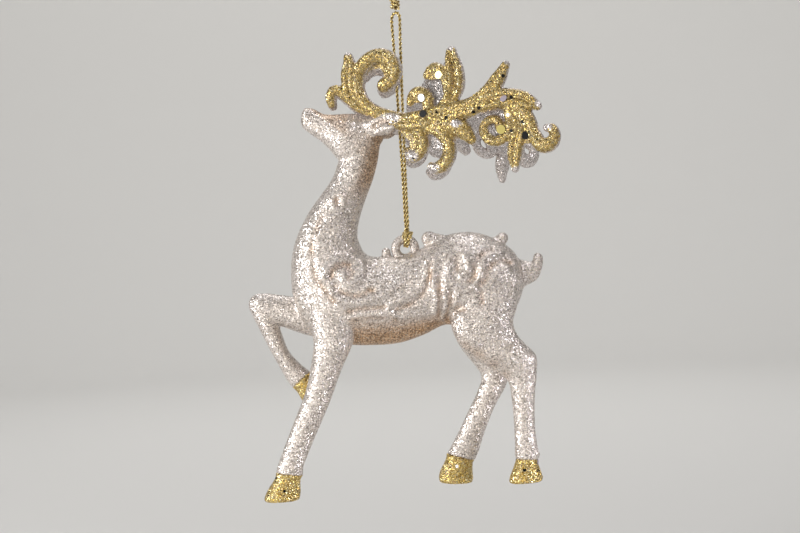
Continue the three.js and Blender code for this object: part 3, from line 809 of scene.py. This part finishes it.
def ball(centre, radius):
    rings = []
    for angle in np.linspace(-math.pi / 2, math.pi / 2, BALL_RINGS + 2)[1:-1]:
        wide = math.cos(angle)
        circle = ellipse(BALL_SIDES, (wide, 0, 0), (0, wide, 0)) + (0, 0, math.sin(angle))
        rings.append(np.array(centre) + radius * circle)
    return loft(rings)


def back_knob(at, root, radius):
    """A ball on a short root that grows out of the back."""
    (x, z), (x0, z0) = at, root
    side = unit(np.array([z - z0, x0 - x])) * radius
    sections = []
    for (px, pz), grow in ((root, 1.25), (at, 0.9)):
        dx, dz = grow * side
        sections.append((px + dx, pz + dz, px - dx, pz - dz, radius * grow, 0))
    return joined([ball((x, 0, z), radius), limb(sections, start_dome=0.5, end_dome=0.5)])


def relief_height(points):
    """How far the scrollwork raises the skin at each point, and how deep it is cut into a groove."""
    flat = points[:, [0, 2]].astype(np.float32)
    height = np.zeros(len(flat))
    cut = np.zeros(len(flat))
    for path, rise, width in RELIEF:
        curve = smooth_path(np.insert(path, 1, 0, axis=1), RELIEF_STEPS)[:, [0, 2]].astype(np.float32)
        rise *= RELIEF_SCALE
        width *= GROOVE_SPREAD if rise < 0 else 1
        reach = RELIEF_REACH * width
        low, high = curve.min(axis=0) - reach, curve.max(axis=0) + reach
        near = ((flat > low) & (flat < high)).all(axis=1)
        away = np.sqrt(((flat[near, None, :] - curve[None]) ** 2).sum(axis=2).min(axis=1))
        shape = np.exp(-((away / width) ** 2))
        height[near] += rise * shape
        if rise < 0:
            cut[near] = np.maximum(cut[near], shape * min(1, -rise / FULL_CUT))
    return height, cut


def facing_out(points, normal):
    """1 where the skin faces away from the deer's middle plane, 0 where it doesn't."""
    return smoothstep(0.15, 0.6, normal[:, 1] * np.sign(points[:, 1]))


def emboss(piece):
    """Raises and cuts the scrollwork on the outward-facing skin."""
    points, normal = to_deer(coordinates(piece)), normals(piece)
    height, _ = relief_height(points)
    lift = (height * facing_out(points, normal))[:, None]
    set_coordinates(piece, coordinates(piece) + normal * lift * MM)


def warm_shade_parts(piece):
    """Painted shade: where the coat is darkened to warm brown, in the grooves, on the nape, crown and
    brow, and under the belly, where it is painted shade and a painted warm reflection.
    """
    points, normal = to_deer(coordinates(piece)), normals(piece)
    _, cut = relief_height(points)
    x, z = points[:, 0], points[:, 2]
    belly = smoothstep(0.15, 0.75, -normal[:, 2]) * smoothstep(-18, -23, z)
    belly = belly * smoothstep(-19, -15, x) * smoothstep(18, 12, x)
    nape = smoothstep(-0.1, 0.6, normal[:, 0]) * smoothstep(12, 22, z) * smoothstep(37, 33, z)
    crown = smoothstep(0.5, 0.95, normal[:, 2]) * smoothstep(36, 39, z)
    # The brow lies above a line that slopes down from the nose.
    brow = smoothstep(-0.2, 0.8, z + 0.75 * x - 19.8) * smoothstep(-29, -27, x) * smoothstep(-15, -19, x)
    patchy = 0.6 + 0.4 * np.sin(0.9 * x + 1.3) * np.cos(0.8 * z)
    grooves = cut * patchy * facing_out(points, normal)
    warm = GROOVE_SHADE * grooves + belly + NAPE_SHADE * nape + CROWN_SHADE * crown
    return np.clip(warm + BROW_SHADE * brow, 0, 1)


def half_of(piece, side, name):
    """The part of a closed skin on one side of the seam, closed again by a flat face."""
    mesh = bmesh.new()
    mesh.from_mesh(piece.data)
    plane = (0, side * SEAM_GAP * MM, 0)
    everything = [*mesh.verts, *mesh.edges, *mesh.faces]
    bmesh.ops.bisect_plane(mesh, geom=everything, plane_co=plane, plane_no=(0, -side, 0), clear_outer=True)
    rim = [e for e in mesh.edges if e.is_boundary]
    caps = bmesh.ops.holes_fill(mesh, edges=rim, sides=0)["faces"]
    for face in caps:
        face.smooth = False
    for edge in rim:
        edge.smooth = False
    data = bpy.data.meshes.new(name)
    mesh.to_mesh(data)
    mesh.free()
    return add_object(name, data)


def make_eyelet():
    """The ring that the cord is hitched to, skinned like the body."""
    angle = np.linspace(0, 2 * math.pi, EYELET_RINGS)
    path = np.stack([EYELET_RADIUS * np.cos(angle), 0 * angle, EYELET_RADIUS * np.sin(angle)], axis=1)
    rings = []
    for point, out in zip(path, unit(path)):
        rings.append(point + EYELET_THICKNESS / 2 * ellipse(EYELET_SIDES, out, (0, 1, 0)))
    eyelet = skinned("eyelet", [loft(rings)], BODY_VOXEL, smoothing=3)
    roughen(eyelet, BODY_GRAIN * MM)
    # The eyelet gets no painted shade.
    paint(eyelet, "painted_warm_shade", np.zeros(len(eyelet.data.vertices)))
    return eyelet


def absorb(piece, other):
    """Joins the other object's mesh into the piece."""
    with bpy.context.temp_override(active_object=piece, selected_editable_objects=[piece, other]):
        bpy.ops.object.join()


def make_body():
    """One sculpted skin, cut into its two halves along the seam."""
    parts = [
        limb(TRUNK_AND_NECK),
        limb(TAIL, end_dome=1.3),
        limb(HEAD, start_dome=1.2, end_dome=1.6),
        *[limb(EAR, side, start_dome=1, end_dome=1.2) for side in (-1, 1)],
        *[back_knob(*knob) for knob in BACK_KNOBS],
        *[limb(leg, side, start_dome=2, end_dome=0) for leg, side in LEGS],
    ]
    body = skinned("body", parts, BODY_VOXEL, smoothing=16)
    keep_largest(body)
    emboss(body)
    roughen(body, BODY_GRAIN * MM)
    for node, side in (("body_left_half", -1), ("body_right_half", 1)):
        half = half_of(body, side, node + "_skin")
        # Painted shade in warm browns on the grooves, belly, nape, crown and brow of this half.
        paint(half, "painted_warm_shade", warm_shade_parts(half))
        if side < 0:
            absorb(half, make_eyelet())
        finish_piece(half, "deer", "pearl_glitter", pearl, node)
    bpy.data.objects.remove(body)


make_body()


# ---- antlers ----
# An antler is bent at the poll, where it stands ANTLER_OFFSET from the deer's middle plane. The splay
# behind the poll and the toe in front of it are slopes.
POLL_X = -7
ANTLER_SPLAY = 0.49
ANTLER_TOE = 0.15
ANTLER_OFFSET = 5
ANTLER_VOXEL = 0.24 * MM
GOLD_GRAIN = 0.025
STROKE_STEPS = 8
STROKE_SIDES = 20
TIP_PARTS = (0.35, 0.65, 0.87, 0.97)  # of a tip's length, where it has rings
# A stroke's height above and below its middle and the width of a vein, as shares of its half width.
OUTER_HEIGHT = 0.95
INNER_HEIGHT = 0.65
VEIN_WIDTH = 0.3
# The middle of each scroll or leaf in side view: [x, z, half width].
SCROLLS = {
    "c_scroll": [
        (-0.5, 38, 1.8), (-7.5, 40, 2), (-11.5, 42.5, 2), (-13.5, 46, 2), (-14, 50, 2), (-12.3, 54.4, 2.3),
        (-8.5, 56.8, 2.5), (-5, 56, 2.5), (-3.1, 53, 2.4), (-3.6, 50, 2.3), (-6, 48.2, 2.4),
    ],
    "brow_leaf": [
        (-10, 40.5, 1.8), (-14, 43, 2.3), (-16.3, 46.5, 2.1), (-16.9, 51.2, 2.3), (-16.6, 54.6, 2),
        (-16.9, 56.8, 1.5),
    ],
    "brow_curl": [
        (-14.5, 42.5, 1.6), (-17, 44.9, 1.8), (-19.5, 46.8, 1.7), (-21.3, 46.8, 1.7), (-22.2, 45, 1.6),
        (-21.8, 43, 1.4),
    ],
    "main_stem": [
        (-4, 37.7, 2.4), (1, 37, 3), (5.5, 37.3, 3.3), (10, 38.7, 3), (15, 39.4, 3), (19.5, 40.5, 3),
        (23.5, 43.6, 2.7), (26.5, 48, 2.3), (28.4, 51.7, 1.3),
    ],
    "rear_leaf": [
        (19.5, 40.6, 2.6), (24, 41.7, 3.1), (28, 42.3, 3), (32.5, 42, 2.5), (35.5, 40.5, 1.9),
        (37, 39.6, 1.3),
    ],
    "rear_curl": [
        (24, 42.5, 1.8), (29, 41, 2), (32.5, 39, 2), (34.7, 36, 2), (36, 32, 2), (38, 28.8, 2.2),
        (40.3, 28.8, 2.2), (41.6, 30.8, 1.8), (41, 33, 1.5), (39.6, 33.4, 1.2),
    ],
    "hanging_leaf": [
        (27, 41, 1.5), (30, 39, 1.8), (32, 36, 1.9), (32.2, 33, 2.1), (31.5, 29.5, 2.5), (31, 26, 2.3),
        (31, 22.3, 1.2),
    ],
    "inner_spiral": [
        (29, 38.5, 1.3), (29.6, 35, 1.5), (28.7, 31.7, 1.5), (26, 30.2, 1.6), (23.4, 31.4, 1.6),
        (22.4, 34, 1.5), (23.8, 36.2, 1.4), (26, 36.3, 1.3), (27, 34.4, 1.6),
    ],
    "under_leaf": [(5.5, 36, 2), (10, 36, 2.4), (14, 35.6, 3.1), (17, 33.6, 2.8), (19.1, 31.1, 1.7)],
    "hook_front": [
        (2, 36.5, 2), (4.5, 33.5, 2), (5.4, 30.5, 2), (4.5, 28, 2), (2.2, 26.8, 2), (1, 28.3, 1.5),
    ],
    "hook_rear": [
        (6.5, 35.5, 2), (10, 34, 2.2), (12.4, 31, 2.2), (12.9, 27.5, 2.2), (11.6, 24.5, 2.2),
        (9.2, 23.2, 1.9), (7.7, 23.8, 1.3),
    ],
    "crown_leaf": [
        (10, 39.5, 1.8), (13, 43, 2.3), (14.5, 46.5, 2.8), (14.5, 50.5, 2.7), (13.6, 54.3, 2.3),
        (13.3, 56.6, 1.7),
    ],
    "crown_curl": [
        (12, 40.5, 1.3), (12.5, 44.5, 1.5), (12, 48, 1.6), (10.8, 51, 1.8), (8.5, 52.2, 1.8),
        (6.6, 50.4, 1.5),
    ],
    "front_curl": [
        (6.5, 39.5, 1.6), (6.8, 42.6, 2), (5.6, 44.6, 2.3), (3.6, 45, 2.3), (2.2, 44, 1.8),
        (1.7, 42.8, 1.4),
    ],
}
# The veins cut along some strokes, as a share of their half width.
GROOVES = {"crown_leaf": 0.8, "rear_leaf": 0.45, "brow_leaf": 0.3, "hanging_leaf": 0.4, "main_stem": 0.3}
# Sheets that close the hollows between strokes: (how far a sheet's middle is set back from an antler's
# middle towards the deer, its outline in side view). Those without a setback make a curl a full lobe.
WEBS = [
    (1, [(5.5, 39), (5.2, 46), (8, 51.5), (13, 51), (14.5, 41)]),
    (1, [(18.5, 40.5), (28, 41.5), (33, 38), (33, 31), (27, 30), (23.5, 36)]),
    (0.8, [(5.5, 36), (10.5, 34.5), (12, 31), (11.2, 28), (8.4, 28.6), (6.2, 31)]),
    (0.5, [(9, 36), (14, 36), (17, 32), (15, 31), (12, 32.5)]),
    (0, [(6, 50), (6.5, 52.5), (8.5, 53.3), (10.8, 52), (11, 49.8), (9, 48.8), (7, 48.9)]),
    (0, [(1.8, 43.2), (2.3, 45.5), (4.2, 46.4), (6.2, 45.2), (6.5, 42.8), (4.8, 42.3), (3, 42.4)]),
    (0, [(1.2, 27.5), (1.3, 31), (2.2, 35), (5, 35), (5.5, 31), (4.5, 28), (2.5, 26.8)]),
    (0, [(31, 39), (34, 37), (35.5, 33), (36.3, 31), (34.5, 29), (32.5, 29.5), (31.5, 33)]),
    (0, [(-2.5, 37), (3, 37.5), (5, 34), (3.5, 31.5), (0.7, 31.8), (-1, 33.6)]),
]
WEB_THICKNESS = 1.2
LOBE_THICKNESS = 2.2
# A bevel inside the big front scroll, set back from it: [x, z, half width].
INNER_BEVEL = [(-12.8, 51.4), (-11, 53.3), (-8.4, 54.1), (-6, 53.3), (-5.3, 51.3)]
BEVEL_RADIUS = 1.7
BEVEL_SETBACK = 1.0
# The gold starts this far out from an antler's middle, and fades in over its edge.
GILT_DEPTH = 0.15
GILT_EDGE = 0.3
GILT_RAGGEDNESS = 0.12
# Painted shade on an antler: how much its outer face is darkened all over, and how much more the recesses
# between its strokes.
FACE_DARKENING = 0.28
RECESS_SHADE = 0.5
# Where the gold is rubbed off or missed: the ear's root and the tips: [x, z, reach in x, reach in z].
BARE_PATCHES = [
    (-4.8, 38.2, 3.4, 1.7), (1.6, 26.9, 2.2, 2), (7.9, 23, 2, 1.6), (14.5, 35.6, 1.6, 1.2),
    (13.2, 58, 1.6, 1.2), (29.2, 53, 1.6, 1.4), (37.6, 40.4, 1.5, 1.4), (39.3, 33.6, 1.4, 1.3),
    (-17, 58.4, 1.5, 1.1), (31.1, 21.5, 1.6, 1.4),
]


def antler_slope(x):
    """How fast an antler leaves the middle plane on the way to the tail."""
    return np.where(x > POLL_X, ANTLER_SPLAY, ANTLER_TOE)


def antler_offset(x):
    """How far an antler's middle stands from the deer's middle plane."""
    return ANTLER_OFFSET + antler_slope(x) * (x - POLL_X)


def scroll(path, side, groove=0.0, setback=0.0):
    """One stroke of an antler: round on the outer face, flatter inside, with a blunt round tip."""
    fine = smooth_path(path, STROKE_STEPS)
    x, z, radius = fine.T
    out = unit(np.stack([-antler_slope(x), np.full_like(x, side), np.zeros_like(x)], axis=1))
    centre = np.stack([x, side * antler_offset(x), z], axis=1) - out * setback
    along = tangents(centre)
    tip = np.array(TIP_PARTS)
    centre = np.vstack([centre, centre[-1] + along[-1] * (tip * radius[-1])[:, None]])
    radius = np.concatenate([radius, radius[-1] * np.sqrt(1 - tip**2)])
    along = np.vstack([along, np.repeat(along[-1:], len(tip), axis=0)])
    out = np.vstack([out, np.repeat(out[-1:], len(tip), axis=0)])
    wide = unit(np.cross(out, along))
    across, rise = np.cos(around(STROKE_SIDES)), np.sin(around(STROKE_SIDES))
    lift = np.where(rise > 0, OUTER_HEIGHT, INNER_HEIGHT) * rise
    lift = lift - groove * np.exp(-((across / VEIN_WIDTH) ** 2)) * (rise > 0)
    rings = []
    for middle, size, aside, outward in zip(centre, radius, wide, out):
        rings.append(middle + np.outer(size * across, aside) + np.outer(size * lift, outward))
    return loft(rings)


def web(setback, outline, side):
    """A flat sheet in an antler's plane."""
    x, z = np.array(outline, float).T
    thickness = WEB_THICKNESS if setback else LOBE_THICKNESS
    rings = []
    for depth in (-thickness / 2, thickness / 2):
        rings.append(np.stack([x, side * (antler_offset(x) - setback) + depth, z], axis=1))
    return loft(rings)


def antler_facing(piece, side):
    """How far each point stands out from an antler's middle plane, in mm, and how much it faces out."""
    outward = np.array((-ANTLER_SPLAY, side, 0)) / math.hypot(ANTLER_SPLAY, 1)
    points = to_deer(coordinates(piece))
    depth = (side * points[:, 1] - antler_offset(points[:, 0])) / math.hypot(ANTLER_SPLAY, 1)
    return depth, normals(piece) @ outward


def make_antler(name, side):
    """One antler's strokes and sheets under one skin, with its gold, its painted shade and its flakes."""
    bevel = [(x, z, BEVEL_RADIUS) for x, z in INNER_BEVEL]
    parts = [scroll(path, side, GROOVES.get(stroke, 0)) for stroke, path in SCROLLS.items()]
    parts += [web(setback, outline, side) for setback, outline in WEBS]
    parts.append(scroll(bevel, side, setback=BEVEL_SETBACK))
    antler = skinned(name + "_scrollwork", parts, ANTLER_VOXEL, smoothing=3)
    keep_largest(antler)
    roughen(antler, GOLD_GRAIN * MM)
    depth, facing = antler_facing(antler, side)
    ragged = rng.normal(0, GILT_RAGGEDNESS, len(depth))
    gilt = smoothstep(GILT_DEPTH, GILT_DEPTH + GILT_EDGE, depth + ragged)
    gilt *= smoothstep(0.25, 0.6, facing + ragged)
    points = to_deer(coordinates(antler))
    for x, z, wide, tall in BARE_PATCHES:
        away = np.hypot((points[:, 0] - x) / wide, (points[:, 2] - z) / tall)
        gilt *= smoothstep(0.7, 1.2, away + 0.5 * ragged)
    paint(antler, "gilding", gilt)
    # Painted shade: the outer face is darkened a little all over, and the recesses between the strokes
    # much more.
    painted_shade = FACE_DARKENING + RECESS_SHADE * smoothstep(0.1, -0.4, depth)
    paint(antler, "painted_shade", smoothstep(0.3, 0.7, facing) * painted_shade)
    finish_piece(antler, "deer", "gold_glitter", gilded, name)
    make_antler_flakes(antler, side)


# ---- loose flakes ----
# The black is a painted reflection of a dark room in mirror flakes, and the white a painted glint of light
# on a flake.
DARK_REFLECTION, LILAC, STRAW, WHITE_GLINT = (0.01, 0.01, 0.01), (0.5, 0.44, 0.5), (0.9, 0.8, 0.4), (1, 1, 1)
# Big round flakes stuck to an antler's outer face: [x, z, radius, colour].
BIG_FLAKES = [
    (5.2, 38.8, 1.1, DARK_REFLECTION),
    (27.7, 41.9, 1.1, LILAC),
    (33.6, 31.4, 1.1, DARK_REFLECTION),
    (4.8, 43.7, 1.15, WHITE_GLINT),
    (9.8, 50.1, 1.15, STRAW),
    (27.1, 33.5, 1.3, (0.5, 0.42, 0.14)),
    (28.9, 37.4, 0.5, WHITE_GLINT),
    (19.4, 38.7, 0.5, DARK_REFLECTION),
    (20.9, 39.7, 0.5, DARK_REFLECTION),
    (11.7, 37.4, 0.5, DARK_REFLECTION),
    (27.5, 48.5, 0.5, DARK_REFLECTION),
    (29.8, 32.9, 0.5, DARK_REFLECTION),
    (32.7, 35.1, 0.45, DARK_REFLECTION),
    (29.7, 42.3, 0.45, DARK_REFLECTION),
    (9.1, 39.2, 0.4, DARK_REFLECTION),
]
# The same on the hooves' faces towards -Y: [hoof, x, z, radius, colour].
HOOF_FLAKES = [
    ("hoof_hind_left", 35, -64.9, 0.55, DARK_REFLECTION),
    ("hoof_hind_left", 39, -62.8, 0.85, LILAC),
    ("hoof_hind_right", 15.7, -65.6, 0.5, WHITE_GLINT),
    ("hoof_front_left", -35.3, -71.2, 0.45, DARK_REFLECTION),
    ("hoof_front_left", -38.1, -67.7, 0.4, DARK_REFLECTION),
]
FLAKE_THICKNESS = 0.06
FLAKE_LEAN = 0.12
BIG_FLAKE_STANDOFF = 0.35  # as a share of its radius
BIG_FLAKE_SIDES = 20
HOOF_FLAKE_SIDES = 16
SMALL_FLAKE_SIDES = 6
FACES_OUT = 0.3  # the least facing of a vertex that a placed flake may lie on
SMALL_FLAKE_RADIUS = (0.16, 0.3)
ANTLER_SMALL_FLAKES = 260
HOOF_SMALL_FLAKES = 30


def flake(at, normal, radius, sides):
    """A thin round plate lying on the skin, a little askew."""
    lean = unit(normal + rng.normal(0, FLAKE_LEAN, 3))
    wide = unit(np.cross(lean, (0.31, 0.27, 0.91)))
    other = np.cross(lean, wide)
    rim = radius * ellipse(sides, wide, other)
    low = at + normal * FLAKE_THICKNESS * 0.5
    return loft([low + rim, low + lean * FLAKE_THICKNESS + rim])


def make_flakes(name, placed):
    """One object for flakes given as [place in the row frame in mm, normal, radius, sides, colour]."""
    verts, faces = joined([flake(at, normal, radius, sides) for at, normal, radius, sides, _ in placed])
    piece = new_object(name, verts * MM, faces)
    colours = np.concatenate([np.tile((*colour, 1), (2 * sides, 1)) for *_, sides, colour in placed])
    layer = piece.data.attributes.new("tone", "FLOAT_COLOR", "POINT")
    layer.data.foreach_set("color", colours.astype(np.float32).ravel())
    return finish_piece(piece, "deer", "gold_glitter", flake_metal)


def nearest_facing(points, facing, x, z):
    """The index of the vertex nearest to (x, z) in side view among those that face out."""
    away = (points[:, 0] - x) ** 2 + (points[:, 2] - z) ** 2
    return int(np.argmin(away + np.where(facing > FACES_OUT, 0, 1e3)))


def small_flakes(row, normal, allowed, count):
    """Flakes for make_flakes at random vertices among those allowed."""
    picks = rng.choice(np.flatnonzero(allowed), count, replace=False)
    # The black among these colours is a painted dark reflection.
    shades = [GOLD[i][1] for i in (2, 4, 5, 7)] + [DARK_REFLECTION]
    placed = []
    for i in picks:
        radius = rng.uniform(*SMALL_FLAKE_RADIUS)
        colour = shades[rng.integers(len(shades))]
        placed.append((row[i] / MM, normal[i], radius, SMALL_FLAKE_SIDES, colour))
    return placed


def make_antler_flakes(antler, side):
    row, normal = coordinates(antler), normals(antler)
    points = to_deer(row)
    depth, facing = antler_facing(antler, side)
    placed = []
    for x, z, radius, colour in BIG_FLAKES:
        i = nearest_facing(points, facing, x, z)
        out = unit(normal[i] + TILT_ARRAY @ np.array((-ANTLER_SPLAY, side, 0)))
        at = row[i] / MM + out * radius * BIG_FLAKE_STANDOFF
        placed.append((at, out, radius, BIG_FLAKE_SIDES, colour))
    placed += small_flakes(row, normal, (depth > 0.6) & (facing > 0), ANTLER_SMALL_FLAKES)
    make_flakes(antler.name.replace("scrollwork", "flakes"), placed)


for antler_name, antler_side in (("antler_left", -1), ("antler_right", 1)):
    make_antler(antler_name, antler_side)


# ---- hooves ----
HOOF_VOXEL = 0.26 * MM
# Each hoof's side, and sections like a limb's.
HOOVES = {
    "hoof_front_left": (-1, [
        (-38.2, -66.2, -30.2, -67, 3.3, 6),
        (-38.5, -68, -31, -68.4, 3.3, 6),
        (-40.6, -71.4, -30.9, -71.2, 3.6, 6),
        (-41.6, -73.8, -31, -73, 3.9, 6),
        (-41.3, -74.9, -31.3, -74.2, 3.75, 6),
    ]),
    "hoof_front_right": (1, [
        (-34.2, -42.1, -28.7, -37.1, 3.3, 5),
        (-32.8, -43.4, -27.2, -38.4, 3.4, 5),
        (-31.2, -46, -24.9, -40, 3.7, 5),
        (-29.6, -47.4, -23.7, -41.2, 3.8, 5),
        (-28.8, -47.6, -23.2, -42, 3.6, 5),
    ]),
    "hoof_hind_left": (-1, [
        (32.8, -62, 39.3, -62, 3.3, 6),
        (32.3, -63.8, 39.4, -63.8, 3.3, 6),
        (31.1, -67, 40.2, -66, 3.7, 6),
        (30.7, -68.6, 40.6, -67.6, 3.9, 6),
        (31, -69.4, 40.4, -68.6, 3.75, 6),
    ]),
    "hoof_hind_right": (1, [
        (12.8, -62.2, 21.1, -64.1, 3.4, 6),
        (12.2, -64.4, 20.5, -65.4, 3.4, 6),
        (10.6, -67.8, 20.6, -68, 3.7, 6),
        (10.3, -70, 20.7, -69.6, 3.9, 6),
        (10.8, -71.1, 20.4, -71, 3.75, 6),
    ]),
}


def make_hoof(node, side, sections):
    shape = limb(sections, side, start_dome=0, end_dome=0)
    hoof = skinned(node + "_gilded", [shape], HOOF_VOXEL, smoothing=8)
    roughen(hoof, GOLD_GRAIN * MM)
    finish_piece(hoof, "deer", "gold_glitter", hoof_gold, node)
    row, normal = coordinates(hoof), normals(hoof)
    points = to_deer(row)
    placed = small_flakes(row, normal, normal[:, 2] > -0.5, HOOF_SMALL_FLAKES)
    for name, x, z, radius, colour in HOOF_FLAKES:
        if name == node:
            i = nearest_facing(points, -normal[:, 1], x, z)
            placed.append((row[i] / MM, normal[i], radius, HOOF_FLAKE_SIDES, colour))
    make_flakes(node + "_flakes", placed)


for hoof_name, (hoof_side, hoof_sections) in HOOVES.items():
    make_hoof(hoof_name, hoof_side, hoof_sections)


# ---- studio ----
FLOOR_RADIUS = 1.1
FLOOR_COVE = 0.5
FLOOR_WALL = 1.6
FLOOR_SIDES = 96
FLOOR_DROP = 0.05  # below the lowest point of the part
FLOOR_COLOUR = (0.66, 0.65, 0.63, 1)
ROOM_COLOUR = (0.8, 0.81, 0.83, 1)
ROOM_STRENGTH = 0.14


def make_floor():
    """A round pale floor whose rim sweeps up into a wall all round."""
    profile = [(FLOOR_RADIUS / 2, 0), (FLOOR_RADIUS, 0)]
    for angle in np.linspace(0, math.pi / 2, 13)[1:]:
        profile.append((FLOOR_RADIUS + FLOOR_COVE * math.sin(angle), FLOOR_COVE * (1 - math.cos(angle))))
    profile.append((FLOOR_RADIUS + FLOOR_COVE, FLOOR_WALL))
    low = cad_box[0][2] - FLOOR_DROP
    rings = []
    for radius, height in profile:
        rings.append(ellipse(FLOOR_SIDES, (radius, 0, 0), (0, radius, 0)) + (0, 0, low + height))
    verts, faces = loft(rings)
    faces.pop()  # open at the top
    floor = new_object("floor", verts, [tuple(reversed(face)) for face in faces])
    material, _, shader = node_material("floor")
    feed(shader, {"Base Color": FLOOR_COLOUR, "Roughness": 0.85, "Specular IOR Level": 0.2})
    floor.data.materials.append(material)
    floor.data.shade_smooth()


def area_light(name, place, target, size, power, colour=(1, 1, 1), spread=180):
    data = bpy.data.lights.new(name, "AREA")
    data.shape = "SQUARE"
    data.size = size
    data.spread = math.radians(spread)
    data.energy = power
    data.color = colour
    lamp = add_object(name, data)
    lamp.location = place
    lamp.rotation_euler = (Vector(target) - Vector(place)).to_track_quat("-Z", "Y").to_euler()


def make_light():
    """Six lamps, each with its place, target, size and power, in a dim room."""
    middle = (0, 0, -0.075)
    area_light("key", (-0.55, -0.36, 0.04), middle, 0.2, 3.35)
    area_light("side", (0.42, -0.2, -0.12), (0.03, 0, -0.15), 0.1, 0.018, (0.94, 0.92, 1.0), 20)
    area_light("rump", (0.3, -0.2, 0.42), (0.02, 0, -0.04), 0.15, 0.7, (0.96, 0.95, 1.0))
    area_light("front", (0.08, -0.8, 0.0), middle, 0.3, 1.0, (1.0, 0.95, 0.88))
    area_light("room", (0, 0, 1.5), (0, 0, 0), 1.6, 6)
    area_light("backdrop", (0, 0.45, 0.9), (0, 1.5, 0.1), 0.6, 8.5)
    world = bpy.data.worlds.new("studio")
    world.use_nodes = True
    feed(world.node_tree.nodes["Background"], {"Color": ROOM_COLOUR, "Strength": ROOM_STRENGTH})
    bpy.context.scene.world = world
    bpy.context.scene.view_settings.view_transform = "Standard"


make_floor()
make_light()
